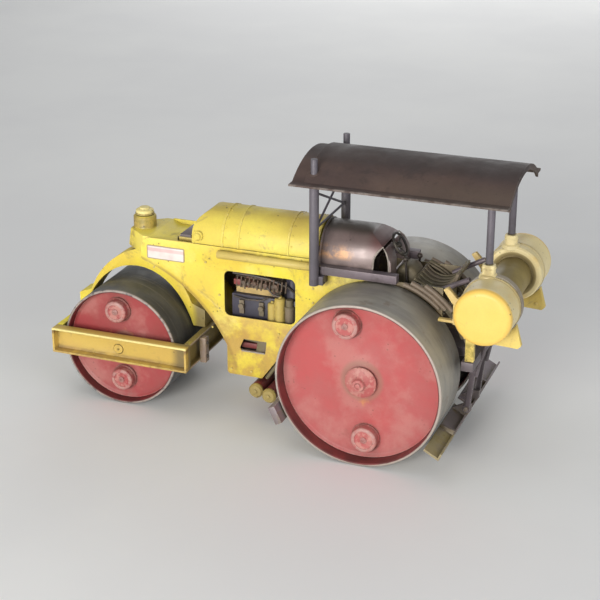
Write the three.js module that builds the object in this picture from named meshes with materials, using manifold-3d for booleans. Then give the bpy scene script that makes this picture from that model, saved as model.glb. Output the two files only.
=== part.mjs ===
// Toy road roller with a steered front roll, two driven rear rolls, a canopy and twin rear tanks.
//
// Millimetres, +Z up. The machine faces -X, its left side is -Y. Sizes below are measured from the
// rear axle, which stands REAR_AXLE_X behind the middle of the whole toy; the floor is Z = 0.

import * as THREE from 'three';
import { mergeVertices } from 'three/addons/utils/BufferGeometryUtils.js';
import Module from 'manifold-3d';

// ---------------------------------------------------------------- driving dimensions

const REAR_AXLE_X = 66;
const GAP = 0.3;
const SIDES = [['left', -1], ['right', 1]];

const REAR_ROLL = { radius: 55, inner: 22.7, outer: 66.6, wall: 2.2, disc: 56, innerDisc: 30, discWall: 1.6 };
const FRONT_ROLL = { x: -180, radius: 41.8, half: 38, wall: 2, disc: 30, discWall: 1.6 };
const REAR_PLUGS = { radius: 39, angles: [105, 275], size: 9.4, stub: 8.6, height: 6.4 };
const FRONT_PLUGS = { radius: 25, angles: [98, 268], size: 8.8, stub: 7.8, height: 7 };
const AXLE = { rear: 4, front: 3.4, frontLength: 81.4, rearLength: 113 };

const KINGPIN = { x: -176.2, radius: 4, capFoot: 126.7 };
const FRAME = { front: -227.5, rear: -126.8, top: 52.4, bottom: 34.8, web: 38.9, edge: 46.4, sheet: 1.3 };
const SADDLE = { x: -177.6, half: 8, outerX: 14.2, outerZ: 49.6, outerRadius: 56, clearance: 1.2, rise: 6 };
const HEAD = { nose: -187, noseTop: -183.4, noseHalf: 6.2, shoulder: -168.6, back: -158, rakeEnd: -150,
  bottom: 104.6, top: 118, collarRadius: 7.8, collarTop: 126.4 };
const COWL = { front: -165, step: -158, rear: -131, top: 115.2, sheet: 1.4 };
const RADIATOR = { x0: -145, x1: -137, half: 11, foot: 94.2, top: 119.5 };

const BODY = { half: 21, sheet: 1.4, top: 118, cabTop: 110.6, front: -170, rear: 41, rearBottom: 42,
  belly: 27.4, bellyFront: -107.8, bellyRear: -82.5, stepEnd: -72 };
const ARCH = { x: -200.2, z: 4.2, radius: 102.3 };
const WINDOW = { x0: -109, x1: -58.5, z0: 70, z1: 102, corner: 4 };
const POCKET = { x0: -98.4, x1: -79, z0: 45.6, z1: 54.5, slant: 3 };
const BONNET = { front: -132, rear: -43.4, crown: 140.7, wall: 1.2, noseLength: 19, noseDrop: 14 };
const HOOD = { front: -42.4, rear: 6.4, crown: 139.6, foot: 110.9, wall: 1.2 };
const RAIL = { x0: -112, x1: -46, z: 114, radius: 2.7 };
const LEDGE = { x0: -41.6, x1: 12, z0: 111, z1: 116.4, edge: 27 };

const FRONT_POST = { x: -42, y: 30.5, foot: 104.6, radius: 3.1, tip: 188.7, tipRadius: 2.2 };
const BRACE = { x: -42, low: 141.9, high: 165.6 };
const REAR_POST = { x: 71.6, y: 28.8, radius: 2.4 };
const ROOF = { x0: -54.2, x1: 84.7, half: 44, brim: 37.2, edge: 175, crown: 188.7, sheet: 1.1, shade: 9,
  drop: 1.8, bow: 2.6 };
const TANK = { x: 75, z: 108.4, radius: 18.3, dome: 57, shoulder: 52.5, inner: 24, core: 12 };
const BEAM = { x0: 58.4, x1: 66, z0: 63, z1: 69, half: 36 };
const WHEEL = { x: 5.8, z: 128.4, radius: 7.8, tilt: 58 };
const LEVER = { x: 15, z: 95.4 };
const SEAT = { x: 33, z: 121, radius: 15, sheet: 1.4, half: 14 };
const SCRAPER = { inner: 5.4, outer: 74, pin: 1.6, ribAt: 10.6, stiffenerAt: 39.7, rearX: 46.4, rearZ: 23.2,
  frontFacing: 206, frontWidth: 12, frontDepth: 4.6, clearance: 0.7 };
const PIVOT = { rear: [57.4, 26], front: [-60, 31] };
const HANGER = { inner: 12, outer: 14.4, before: 1.4, behind: 2.2, lean: 4 };
const ENGINE = { x0: -106, x1: -60, half: 15, z0: 62, z1: 84 };
const CYLINDERS = { x0: -104, x1: -72, half: 12, top: 96, pipeZ: 92 };
const RESERVOIRS = [['front', -84.6, 20.6], ['rear', -75.2, 18.2]];

const ROUND = 48;
const SMALL = 16;

// ---------------------------------------------------------------- materials

const paint = (color, roughness = 0.55, metalness = 0.1) =>
  new THREE.MeshStandardMaterial({ color, roughness, metalness });
const YELLOW = () => paint(0xe8c84a);
const RED = () => paint(0xc05552);
const TREAD = () => paint(0x57554f, 0.6, 0.5);
const GREY = () => paint(0x7c7074, 0.5, 0.3);
const CANOPY = () => paint(0x5c4e49, 0.6, 0.2);
const OLIVE = () => paint(0x5e583f, 0.7, 0.2);
const STEEL = () => paint(0x8a8884, 0.4, 0.8);
const DARK = () => paint(0x3a3633, 0.6, 0.4);

// ---------------------------------------------------------------- solids

const wasm = await Module();
wasm.setup();

// A closed three.js geometry as a solid with its faces pointing out.
function solid(geometry) {
  const bare = geometry.clone();
  bare.deleteAttribute('normal');
  bare.deleteAttribute('uv');
  const merged = mergeVertices(bare, 1e-4);
  const at = merged.attributes.position;
  const triangles = [];
  let volume = 0;
  const corner = [new THREE.Vector3(), new THREE.Vector3(), new THREE.Vector3()];
  for (let i = 0; i < merged.index.count; i += 3) {
    const ids = [0, 1, 2].map((k) => merged.index.getX(i + k));
    if (new Set(ids).size < 3) continue;
    ids.forEach((id, k) => corner[k].fromBufferAttribute(at, id));
    volume += corner[0].dot(corner[1].clone().cross(corner[2]));
    triangles.push(ids);
  }
  if (volume < 0) triangles.forEach((ids) => ids.reverse());
  return new wasm.Manifold(new wasm.Mesh({
    numProp: 3,
    vertProperties: new Float32Array(at.array),
    triVerts: new Uint32Array(triangles.flat()),
  }));
}

const span = (a, b) => [Math.min(a, b), Math.max(a, b)];
const sided = (side, a, b) => span(side * a, side * b);
const join = (first, ...others) => others.reduce((whole, one) => whole.add(one), first);
const cut = (first, ...others) => others.reduce((whole, one) => whole.subtract(one), first);

function box(x0, x1, y0, y1, z0, z1) {
  const geometry = new THREE.BoxGeometry(x1 - x0, y1 - y0, z1 - z0);
  return solid(geometry.translate((x0 + x1) / 2, (y0 + y1) / 2, (z0 + z1) / 2));
}

// A body of revolution about a line parallel to Y; the profile holds (radius, y) pairs.
function turned(profile, x, z, segments = ROUND) {
  const points = profile.map(([r, y]) => new THREE.Vector2(r, y));
  return solid(new THREE.LatheGeometry(points, segments).translate(x, 0, z));
}

// The same about a vertical line; the profile holds (radius, z) pairs.
function upright(profile, x, y, segments = SMALL) {
  const points = profile.map(([r, z]) => new THREE.Vector2(r, z));
  return solid(new THREE.LatheGeometry(points, segments).rotateX(Math.PI / 2).translate(x, y, 0));
}

// A round bar between two points.
function rod(from, to, radius, segments = SMALL) {
  const a = new THREE.Vector3(...from);
  const b = new THREE.Vector3(...to);
  const along = b.clone().sub(a);
  const upward = new THREE.Vector3(0, 1, 0);
  const turn = new THREE.Quaternion().setFromUnitVectors(upward, along.clone().normalize());
  const middle = a.add(b).multiplyScalar(0.5);
  const geometry = new THREE.CylinderGeometry(radius, radius, along.length(), segments);
  return solid(geometry.applyQuaternion(turn).translate(middle.x, middle.y, middle.z));
}

function outline(points) {
  const shape = new THREE.Shape();
  points.forEach(([u, v], i) => (i ? shape.lineTo(u, v) : shape.moveTo(u, v)));
  return shape;
}

const AXES = {
  xz: [[1, 0, 0], [0, 0, 1], [0, -1, 0]],
  yz: [[0, 1, 0], [0, 0, 1], [1, 0, 0]],
  xy: [[1, 0, 0], [0, 1, 0], [0, 0, 1]],
};

// A flat shape in one plane, made thick from `from` to `to` along the third axis.
function slab(shape, plane, from, to, curveSegments = 16) {
  const geometry = new THREE.ExtrudeGeometry(shape, { depth: to - from, bevelEnabled: false, curveSegments });
  const basis = AXES[plane].map((axis) => new THREE.Vector3(...axis));
  geometry.applyMatrix4(new THREE.Matrix4().makeBasis(...basis));
  const start = plane === 'xz' ? to : from;
  const shift = new THREE.Vector3(...[0, 1, 2].map((i) => Math.abs(AXES[plane][2][i]) * start));
  return solid(geometry.translate(shift.x, shift.y, shift.z));
}

// Points on an arc about (cx, cz), in degrees from +X.
function arc(cx, cz, radius, from, to, steps) {
  return Array.from({ length: steps + 1 }, (_, i) => {
    const angle = THREE.MathUtils.degToRad(from + (to - from) * i / steps);
    return [cx + radius * Math.cos(angle), cz + radius * Math.sin(angle)];
  });
}

function roundedRect(x0, x1, z0, z1, corner) {
  const steps = 4;
  return outline([
    ...arc(x1 - corner, z1 - corner, corner, 0, 90, steps),
    ...arc(x0 + corner, z1 - corner, corner, 90, 180, steps),
    ...arc(x0 + corner, z0 + corner, corner, 180, 270, steps),
    ...arc(x1 - corner, z0 + corner, corner, 270, 360, steps),
  ]);
}

const machine = new THREE.Group();
machine.position.x = REAR_AXLE_X;

function piece(name, body, material) {
  const mesh = body.getMesh();
  const geometry = new THREE.BufferGeometry();
  geometry.setAttribute('position', new THREE.BufferAttribute(new Float32Array(mesh.vertProperties), 3));
  geometry.setIndex(new THREE.BufferAttribute(new Uint32Array(mesh.triVerts), 1));
  geometry.computeVertexNormals();
  const node = new THREE.Mesh(geometry, material);
  node.name = name;
  machine.add(node);
}

// ---------------------------------------------------------------- rolls

// A tread tube from y0 to y1 with square rims.
function treadTube(roll, x, y0, y1) {
  const inner = roll.radius - roll.wall;
  const section = [[inner, y0], [roll.radius, y0], [roll.radius, y1], [inner, y1], [inner, y0]];
  return turned(section, x, roll.radius);
}

// A ballast plug: a flange on the disc and a screwed stub standing out from it.
function plug(roll, x, plugs, angle, face, side) {
  const turn = THREE.MathUtils.degToRad(angle);
  const px = x + plugs.radius * Math.cos(turn);
  const pz = roll.radius + plugs.radius * Math.sin(turn);
  const flange = rod([px, face, pz], [px, face + side * plugs.height * 0.3, pz], plugs.size);
  const stub = rod([px, face, pz], [px, face + side * plugs.height, pz], plugs.stub);
  return join(flange, stub);
}

// An end disc set back inside the tread, with its hub boss, plugs and bore.
function endDisc(roll, x, plugs, side, bore, hub) {
  const rim = roll.radius - roll.wall - GAP;
  const inside = side * (roll.disc - roll.discWall);
  const face = side * roll.disc;
  const section = [[bore, inside], [rim, inside], [rim, face], [bore, face], [bore, inside]];
  const disc = turned(section, x, roll.radius);
  const boss = turned([[bore, inside], [hub.radius, inside], [hub.radius, side * hub.face],
    [bore, side * hub.face], [bore, inside]], x, roll.radius, SMALL);
  const stubs = plugs.angles.map((angle) => plug(roll, x, plugs, angle, face - side * 0.5, side));
  return join(disc, boss, ...stubs);
}

function rearRoll(name, side) {
  const { radius, inner, outer, wall, innerDisc, discWall } = REAR_ROLL;
  const bore = AXLE.rear + 0.5;
  const [y0, y1] = sided(side, inner, outer);
  piece(`rear_roll_tread_${name}`, treadTube(REAR_ROLL, 0, y0, y1), TREAD());
  const hub = { radius: 8.5, face: 57.6 };
  piece(`rear_roll_disc_${name}`, endDisc(REAR_ROLL, 0, REAR_PLUGS, side, bore, hub), RED());
  const rim = radius - wall - GAP;
  const [d0, d1] = [side * innerDisc, side * (innerDisc + discWall)];
  const web = turned([[bore, d0], [rim, d0], [rim, d1], [bore, d1], [bore, d0]], 0, radius);
  const sleeve = [[bore, 26], [8, 26], [8, 50], [bore, 50], [bore, 26]].map(([r, y]) => [r, side * y]);
  const tube = turned(sleeve, 0, radius, SMALL);
  piece(`rear_roll_inner_disc_${name}`, join(web, tube), DARK());
  const cone = [[0, 57.9], [10.4, 57.9], [10.4, 59], [4.4, 61.4],
    [3.9, 61.8], [3.9, 64.2], [3.2, 64.8], [0, 64.8]];
  const cap = turned(cone.map(([r, y]) => [r, side * y]), 0, radius, 24);
  piece(`rear_hub_cap_${name}`, cap, RED());
}

function frontRoll() {
  const { x, half } = FRONT_ROLL;
  piece('front_roll_tread', treadTube(FRONT_ROLL, x, -half, half), TREAD());
  for (const [name, side] of SIDES) {
    const hub = { radius: 7, face: FRONT_ROLL.disc + 4 };
    const disc = endDisc(FRONT_ROLL, x, FRONT_PLUGS, side, AXLE.front + 0.4, hub);
    piece(`front_roll_disc_${name}`, disc, RED());
  }
}

// ---------------------------------------------------------------- front bogie

// A channel: a web from `back` to `back + sheet`, with flanges running on to `edge` (along y).
function sideChannel(side) {
  const { front, rear, top, bottom, web, edge, sheet } = FRAME;
  const wall = box(front, rear, ...sided(side, web, web + sheet), bottom, top);
  const upper = box(front, rear, ...sided(side, web, edge), top - sheet, top);
  const lower = box(front, rear, ...sided(side, web, edge), bottom, bottom + sheet);
  const ends = [[front, front + sheet], [rear - sheet, rear]]
    .map(([x0, x1]) => box(x0, x1, ...sided(side, web, edge), bottom, top));
  return join(wall, upper, lower, ...ends);
}

function crossChannel(back, edge) {
  const { top, bottom, web, sheet } = FRAME;
  const out = Math.sign(edge - back);
  const half = web - GAP;
  const wall = box(...span(back, back + out * sheet), -half, half, bottom, top);
  const upper = box(...span(back, edge), -half, half, top - sheet, top);
  const lower = box(...span(back, edge), -half, half, bottom, bottom + sheet);
  return join(wall, upper, lower);
}

// The saddle stands on both cross members and arches over the roll.
function saddle() {
  const { x: mid, half, outerX, outerZ, outerRadius, clearance, rise } = SADDLE;
  const foot = FRAME.top + GAP;
  const inner = FRONT_ROLL.radius + clearance;
  const footAngle = THREE.MathUtils.radToDeg(Math.asin((foot - FRONT_ROLL.radius) / inner));
  const under = arc(FRONT_ROLL.x, FRONT_ROLL.radius, inner, 180 - footAngle, footAngle, 20)
    .map(([x, z]) => [x, z + rise * Math.max(0, (z - 62) / 22)]);
  const frontArc = arc(mid + outerX, outerZ, outerRadius, 160, 107, 10);
  const rearArc = frontArc.map(([x, z]) => [2 * mid - x, z]).reverse();
  const shape = outline([
    [FRAME.front + 2, foot], [FRAME.front + 2, 65], ...frontArc, ...rearArc,
    [2 * mid - FRAME.front - 2, 65], [2 * mid - FRAME.front - 2, foot], ...under.reverse(),
  ]);
  return slab(shape, 'xz', -half, half);
}

function frontBogie() {
  const onAxle = (y) => [FRONT_ROLL.x, y, FRONT_ROLL.radius];
  for (const [name, side] of SIDES) {
    const bearing = rod(onAxle(side * 34.6), onAxle(side * FRAME.web), 8);
    const bore = rod(onAxle(side * 30), onAxle(side * 50), AXLE.front + GAP);
    piece(`front_frame_rail_${name}`, cut(join(sideChannel(side), bearing), bore), YELLOW());
  }
  piece('front_cross_member', crossChannel(-223.2, FRAME.front), YELLOW());
  const lugs = SIDES.map(([, side]) =>
    box(FRAME.rear - 0.6, FRAME.rear + 3.8, ...sided(side, 17, 22.6), 33, 51));
  piece('rear_cross_member', join(crossChannel(-131.4, FRAME.rear), ...lugs), YELLOW());
  piece('saddle_arch', saddle(), YELLOW());
  const { x, radius, capFoot } = KINGPIN;
  const collar = [[0, 103.6], [7, 103.6], [7, 104.2], [radius, 104.2]];
  const cap = [[radius, 0], [6.1, 0], [6.1, 3], [4.4, 3.8], [3.6, 3.8], [3.6, 4.8], [0, 4.8]]
    .map(([r, z]) => [r, capFoot + z]);
  piece('kingpin', upright([...collar, ...cap], x, 0), YELLOW());
  const reach = AXLE.frontLength / 2;
  piece('front_axle', rod(onAxle(-reach), onAxle(reach), AXLE.front), STEEL());
}

// ---------------------------------------------------------------- chassis

// The side plate follows the arch over the front roll, steps down to the belly and runs back past the axle.
function sidePlate(side) {
  const { half, sheet, top, cabTop, front, rear, rearBottom, belly, bellyFront, bellyRear, stepEnd } = BODY;
  const archTop = THREE.MathUtils.radToDeg(Math.acos((front + 1.6 - ARCH.x) / ARCH.radius));
  const archEnd = THREE.MathUtils.radToDeg(Math.acos((bellyFront - ARCH.x) / ARCH.radius));
  const edge = [
    [front, 103], [front + 0.5, 112], [front + 2.4, 116], [front + 6, top],
    [HOOD.front - 0.8, top], [HOOD.front - 0.8, cabTop], [rear, cabTop], [rear, rearBottom],
    [stepEnd, rearBottom], [bellyRear, belly], [bellyFront + 1.5, belly], [bellyFront, belly + 1.5],
    ...arc(ARCH.x, ARCH.z, ARCH.radius, archEnd, archTop, 12),
  ];
  const shape = outline(edge.reverse());
  const { x0, x1, z0, z1, slant } = POCKET;
  const pocket = outline([[x0 + slant, z1], [x0, z0 + 2.2], [x0 + 1.4, z0], [x1 - 1, z0], [x1, z1]]);
  const [y0, y1] = sided(side, half - sheet, half);
  return cut(
    slab(shape, 'xz', y0, y1),
    slab(roundedRect(WINDOW.x0, WINDOW.x1, WINDOW.z0, WINDOW.z1, WINDOW.corner), 'xz', y0 - 1, y1 + 1),
    slab(pocket, 'xz', y0 - 1, y1 + 1),
    rod([0, y0 - 1, REAR_ROLL.radius], [0, y1 + 1, REAR_ROLL.radius], AXLE.rear + 0.5),
  );
}

// The head is a bow-shaped casting with a collar, bored for the kingpin.
function steeringHead() {
  const { nose, noseTop, noseHalf, shoulder, back, rakeEnd, bottom, top, collarRadius, collarTop } = HEAD;
  const half = BODY.half - BODY.sheet - GAP;
  const plan = outline([[nose, -noseHalf + 2], [nose + 2, -noseHalf], [shoulder, -half], [back, -half],
    [back, half], [shoulder, half], [nose + 2, noseHalf], [nose, noseHalf - 2]]);
  const { x } = KINGPIN;
  const rake = outline([[nose, bottom], [rakeEnd, bottom], [rakeEnd, COWL.top], [COWL.step, COWL.top],
    [COWL.front, top], [noseTop, top]]);
  const bow = slab(plan, 'xy', bottom, top).intersect(slab(rake, 'xz', -30, 30));
  const cowl = cut(
    box(COWL.step - 1, COWL.rear, -half, half, COWL.top - COWL.sheet, COWL.top),
    box(RADIATOR.x0 - GAP, RADIATOR.x1 + GAP, ...span(-RADIATOR.half - GAP, RADIATOR.half + GAP), 100, 130),
  );
  const collar = upright([[0, top - 2], [collarRadius, top - 2], [collarRadius, collarTop - 1],
    [collarRadius - 1, collarTop], [0, collarTop]], x, 0);
  return cut(join(bow, cowl, collar), rod([x, 0, 90], [x, 0, 140], KINGPIN.radius + 0.4));
}

// Sheet between the side plates, just above the arch over the front roll.
function troughFloor() {
  const half = BODY.half - BODY.sheet - GAP;
  const lower = arc(ARCH.x, ARCH.z, ARCH.radius + 1.5, 72.5, 27, 12);
  const upper = arc(ARCH.x, ARCH.z, ARCH.radius + 2.8, 27, 72.5, 12);
  return slab(outline([...lower, ...upper].reverse()), 'xz', -half, half);
}

// Cross-section of the bonnet and the hood: upright sides under a half round.
function vault(half, crown, foot) {
  return outline([[-half, foot], [half, foot], ...arc(0, crown - half, half, 0, 180, 16)]);
}

function bonnet() {
  const { front, rear, crown, wall, noseLength, noseDrop } = BONNET;
  const half = BODY.half - 0.5;
  const foot = BODY.top + GAP;
  const shell = (inset, open) => {
    const [long, deep] = [noseLength - inset, noseDrop - inset];
    const nose = arc(0, 0, 1, 180, 90, 8)
      .map(([x, z]) => [front + noseLength + x * long, crown - noseDrop + z * deep]);
    const side = outline([[front + inset, foot - inset], ...nose,
      [rear + open, crown - inset], [rear + open, foot - inset]]);
    return slab(vault(half - inset, crown - inset, foot - inset), 'yz', front, rear + open)
      .intersect(slab(side, 'xz', -30, 30));
  };
  return cut(shell(0, 0), shell(wall, 1));
}

// The hood ends in a dome with a pointed opening at each side and one at the back.
function hood() {
  const { front, rear, crown, foot, wall } = HOOD;
  const half = BODY.half - 0.5;
  const profile = (inset) => outline([
    [front - inset, foot - inset], [rear - inset, foot - inset], [rear - 0.5 - inset, 122],
    [rear - 4 - inset, 128.3 - inset], [rear - 10 - inset, 133.4 - inset], [rear - 16 - inset, 137.2 - inset],
    [rear - 23 - inset, 139.4 - inset], [rear - 28, crown - inset], [front - inset, crown - inset],
  ]);
  const outside = slab(vault(half, crown, foot), 'yz', front, rear)
    .intersect(slab(profile(0), 'xz', -30, 30));
  const inside = slab(vault(half - wall, crown - wall, foot - 1), 'yz', front - 1, rear)
    .intersect(slab(profile(wall), 'xz', -30, 30));
  const [sill, peak] = [114, 131.5];
  const shoulder = sill + 0.55 * (peak - sill);
  const pointed = (centre, width) => outline([[centre - width, sill], [centre + width, sill],
    [centre + width * 0.8, shoulder], [centre, peak], [centre - width * 0.8, shoulder]]);
  return cut(outside, inside, slab(pointed(-0.4, 6), 'xz', -30, 30), slab(pointed(0, 8.5), 'yz', 0, 30));
}

function engine() {
  const bowl = upright([[0, 83], [4.4, 83], [4.4, 97], [3, 99], [0, 99]], -64.6, -9);
  const block = box(ENGINE.x0, ENGINE.x1, -ENGINE.half, ENGINE.half, ENGINE.z0, ENGINE.z1);
  piece('engine_block', join(block, bowl), OLIVE());
  const { pipeZ } = CYLINDERS;
  const { x0: head0, x1: head1, half: reach } = CYLINDERS;
  const head = box(head0, head1, -reach, reach, ENGINE.z1 + GAP, CYLINDERS.top);
  const pipe = rod([head0 + 1, -13, pipeZ], [head1, -13, pipeZ], 3);
  const stubs = [-98, -90, -82, -74].map((x) => rod([x, -16, pipeZ], [x, -11, pipeZ], 2.2, 12));
  piece('cylinder_head', join(head, pipe, ...stubs), paint(0x6b4a3a));
  const { x0, x1, half, foot, top } = RADIATOR;
  piece('radiator', box(x0, x1, -half, half, foot, top), GREY());
}

function bellyAndHousing() {
  const half = BODY.half - BODY.sheet - GAP;
  for (const [name, x, z] of RESERVOIRS) {
    const profile = [[0, -28], [3.6, -28], [4.8, -26.4], [4.8, 26.4], [3.6, 28], [0, 28]];
    piece(`reservoir_${name}`, turned(profile, x, z, SMALL), RED());
  }
  const [pan0, pan1] = [BODY.belly + 0.4, BODY.belly + 1.8];
  const pan = box(-106.4, -82, -half, half, pan0, pan1);
  piece('belly_pan', join(pan, box(-84, -69, -3, 3, pan0, pan1)), YELLOW());
  const bore = rod([0, -30, REAR_ROLL.radius], [0, 30, REAR_ROLL.radius], AXLE.rear + 0.5);
  const end = half - GAP;
  const drum = turned([[0, -end], [16, -end], [16, end], [0, end]], 0, REAR_ROLL.radius, 32);
  const housing = join(drum, box(-104, 38, -15, 15, 44, 61.5));
  const hangers = SIDES.map(([, side]) => hanger(side, PIVOT.front, 46, 0));
  piece('axle_housing', join(cut(housing, bore), ...hangers), DARK());
  const reach = AXLE.rearLength / 2;
  piece('rear_axle', rod([0, -reach, REAR_ROLL.radius], [0, reach, REAR_ROLL.radius], AXLE.rear), STEEL());
}

function railsAndLedges() {
  for (const [name, side] of SIDES) {
    const y = side * (BODY.half + GAP + RAIL.radius);
    piece(`side_rail_${name}`, rod([RAIL.x0, y, RAIL.z], [RAIL.x1, y, RAIL.z], RAIL.radius), YELLOW());
    const { x0, x1, z0, z1, edge } = LEDGE;
    piece(`hood_ledge_${name}`, box(x0, x1, ...sided(side, BODY.half + GAP, edge), z0, z1), GREY());
  }
}

// ---------------------------------------------------------------- driver's station

function station() {
  const half = BODY.half - BODY.sheet - GAP;
  piece('cab_floor', join(box(-18, 42, -half, half, 92, 93.4), box(22, 42, -9, 9, 93, 104)), OLIVE());
  const { x, z, radius, sheet } = SEAT;
  const pan = arc(x, z, radius + sheet, 215, 350, 12);
  const under = arc(x, z, radius, 350, 215, 12);
  piece('seat', slab(outline([...pan, ...under]), 'xz', -SEAT.half, SEAT.half), OLIVE());
  const tilt = THREE.MathUtils.degToRad(WHEEL.tilt);
  const along = (t) => [WHEEL.x - t * Math.sin(tilt), 0, WHEEL.z - t * Math.cos(tilt)];
  const column = join(rod(along(1.8), along(22), 1.3, 12), box(-15, -9, -3, 3, 93.7, 117.6));
  piece('steering_column', column, DARK());
  for (const [name, side] of SIDES) {
    const outer = arc(0, REAR_ROLL.radius, 59.4, 68, 22, 14);
    const inner = arc(0, REAR_ROLL.radius, 57.6, 22, 68, 14);
    const [y0, y1] = sided(side, 15.6, half - GAP);
    piece(`roll_guard_${name}`, slab(outline([...outer, ...inner].reverse()), 'xz', y0, y1), OLIVE());
  }
}

function steeringWheel() {
  const rim = solid(new THREE.TorusGeometry(WHEEL.radius, 0.9, 6, 24));
  const spokes = [0, 120, 240].map((angle) => {
    const a = THREE.MathUtils.degToRad(angle);
    return rod([0, 0, 0], [WHEEL.radius * Math.cos(a), WHEEL.radius * Math.sin(a), 0], 0.6, 6);
  });
  const hub = rod([0, 0, -1.4], [0, 0, 1.6], 2, 12);
  const flat = join(rim, hub, ...spokes);
  piece('steering_wheel', flat.rotate([0, WHEEL.tilt, 0]).translate([WHEEL.x, 0, WHEEL.z]), DARK());
}

function levers() {
  for (const [name, y, lean, top] of [['gear_lever', -11, -2, 123], ['brake_lever', 11, 1, 118]]) {
    const stick = rod([LEVER.x, y, LEVER.z], [LEVER.x + lean, y, top], 0.8, 10);
    const knob = solid(new THREE.SphereGeometry(1.9, 10, 6).translate(LEVER.x + lean, y, top));
    const foot = rod([LEVER.x, y - 1.6, LEVER.z], [LEVER.x, y + 1.6, LEVER.z], 1.6, 14);
    piece(name, join(stick, knob, foot), DARK());
  }
}

// ---------------------------------------------------------------- canopy

function roofProfile(lift, drop) {
  const { half, brim, edge, crown } = ROOF;
  const rise = crown - drop - edge;
  const radius = (brim * brim + rise * rise) / (2 * rise);
  const reach = THREE.MathUtils.radToDeg(Math.asin(brim / radius));
  const top = arc(0, crown - drop - radius, radius, 90 - reach, 90 + reach, 16);
  return [[half, edge], ...top, [-half, edge]].map(([y, z]) => [y, z + lift]);
}

function roof() {
  const { x0, x1, sheet, shade } = ROOF;
  const section = (drop) => outline([...roofProfile(0, drop), ...roofProfile(-sheet, drop).reverse()]);
  const main = slab(section(0), 'yz', x0 + shade, x1);
  const front = slab(section(ROOF.drop), 'yz', x0, x0 + shade + 0.01);
  const lip = slab(section(ROOF.drop / 2), 'yz', x0 + shade - 1, x0 + shade + 1);
  const holes = SIDES.map(([, side]) =>
    upright([[0, 160], [FRONT_POST.tipRadius + GAP, 160], [FRONT_POST.tipRadius + GAP, 200], [0, 200]],
      FRONT_POST.x, side * FRONT_POST.y));
  const crest = (lift) => roofProfile(lift, 0).slice(1, -1);
  const bowShape = outline([...crest(-sheet / 2), ...crest(-sheet - ROOF.bow).reverse()]);
  const bow = slab(bowShape, 'yz', x1 - 1.6, x1);
  return cut(join(main, front, lip, bow), ...holes);
}

function canopy() {
  piece('canopy_roof', roof(), CANOPY());
  const under = (y) => {
    const { brim, edge, crown, sheet } = ROOF;
    const rise = crown - edge;
    const radius = (brim * brim + rise * rise) / (2 * rise);
    return crown - radius + Math.sqrt(radius * radius - y * y) - sheet;
  };
  for (const [name, side] of SIDES) {
    const post = FRONT_POST;
    const shoulder = under(post.y + post.radius) - 0.6;
    const tube = upright([[0, post.foot], [post.radius, post.foot], [post.radius, shoulder],
      [post.tipRadius, shoulder], [post.tipRadius, post.tip], [0, post.tip]], post.x, side * post.y, SMALL);
    const bracket = box(post.x - 2, post.x + 6, ...sided(side, BODY.half + GAP, post.y), 104.8, 110.6);
    piece(`front_post_${name}`, join(tube, bracket), GREY());
    const rear = REAR_POST;
    const foot = TANK.z + TANK.radius + 7.6;
    piece(`rear_post_${name}`, rod([rear.x, side * rear.y, foot],
      [rear.x, side * rear.y, under(rear.y + rear.radius) - 0.5], rear.radius, SMALL), GREY());
  }
  const y = FRONT_POST.y - FRONT_POST.radius - GAP;
  const { x, low, high } = BRACE;
  piece('front_brace', join(
    rod([x, -y, low], [x, y, low], 0.8, 8),
    rod([x, -y, low], [x, y, high], 0.8, 8),
    rod([x, -y, high], [x, y, low], 0.8, 8),
  ), GREY());
}

// ---------------------------------------------------------------- tanks and scrapers

function tanks() {
  const { x, z, radius, dome, shoulder, inner, core } = TANK;
  const across = REAR_POST.y;
  for (const [name, side] of SIDES) {
    const end = arc(0, 0, 1, 0, 90, 4)
      .map(([u, v]) => [radius * (0.62 + 0.38 * u), side * (shoulder + (dome - shoulder) * v)]);
    const drum = turned([[0, side * inner], [radius - 2, side * inner], [radius, side * (inner + 2)],
      [radius, side * 33.2], [radius + 0.5, side * 33.5], [radius, side * 33.8],
      ...end, [0, side * dome]], x, z, 40);
    const collar = upright([[0, z + radius - 3], [4.2, z + radius - 3], [4.2, z + radius + 7.2],
      [0, z + radius + 7.2]], REAR_POST.x, side * across);
    piece(`tank_drum_${name}`, join(drum, collar), YELLOW());
  }
  const reach = inner - GAP;
  piece('tank_core', rod([x, -reach, z], [x, reach, z], core, 32), YELLOW());
  for (const [name, side] of SIDES) cradle(name, side);
}

// A gusset plate under the drum with a hooked arm in front of it.
function cradle(name, side) {
  const { x, z, radius } = TANK;
  const seat = radius + 0.9;
  const under = arc(x, z, seat, 215, 330, 12);
  const foot = outline([[59, 84.6], [93.4, 83], [95.5, 85], ...under.reverse()]);
  const hug = arc(x, z, seat, 172, 215, 6);
  const hook = [[61, 95], [59, 93], [51.6, 93], [51.6, 106], [45, 115.4], [47.8, 117], [54, 110.6]];
  const arm = outline([...hug, ...hook].reverse());
  const [y0, y1] = sided(side, 31.6, 35);
  const leg = box(60.4, 66, y0, y1, BEAM.z1 + GAP, 86);
  const tab = box(42, 53, y0, y1, 94, 95.6);
  piece(`tank_cradle_${name}`, join(slab(foot, 'xz', y0, y1), slab(arm, 'xz', y0, y1), leg, tab), YELLOW());
}

// A flat bar with an eye for the scraper's hinge pin, leaning back as it reaches up from the pin to `top`.
function hanger(side, [x, z], top, lean) {
  const out = Math.sign(x);
  const [y0, y1] = sided(side, HANGER.inner, HANGER.outer);
  const [x0, x1] = [x - out * HANGER.before, x + out * HANGER.behind];
  const bar = slab(outline([[x0, z], [x1, z], [x1 + lean, top], [x0 + lean, top]]), 'xz', y0, y1);
  const eye = rod([x, y0, z], [x, y1, z], SCRAPER.pin + 1.2);
  const hole = rod([x, y0 - 1, z], [x, y1 + 1, z], SCRAPER.pin + GAP);
  return cut(join(bar, eye), hole);
}

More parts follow.
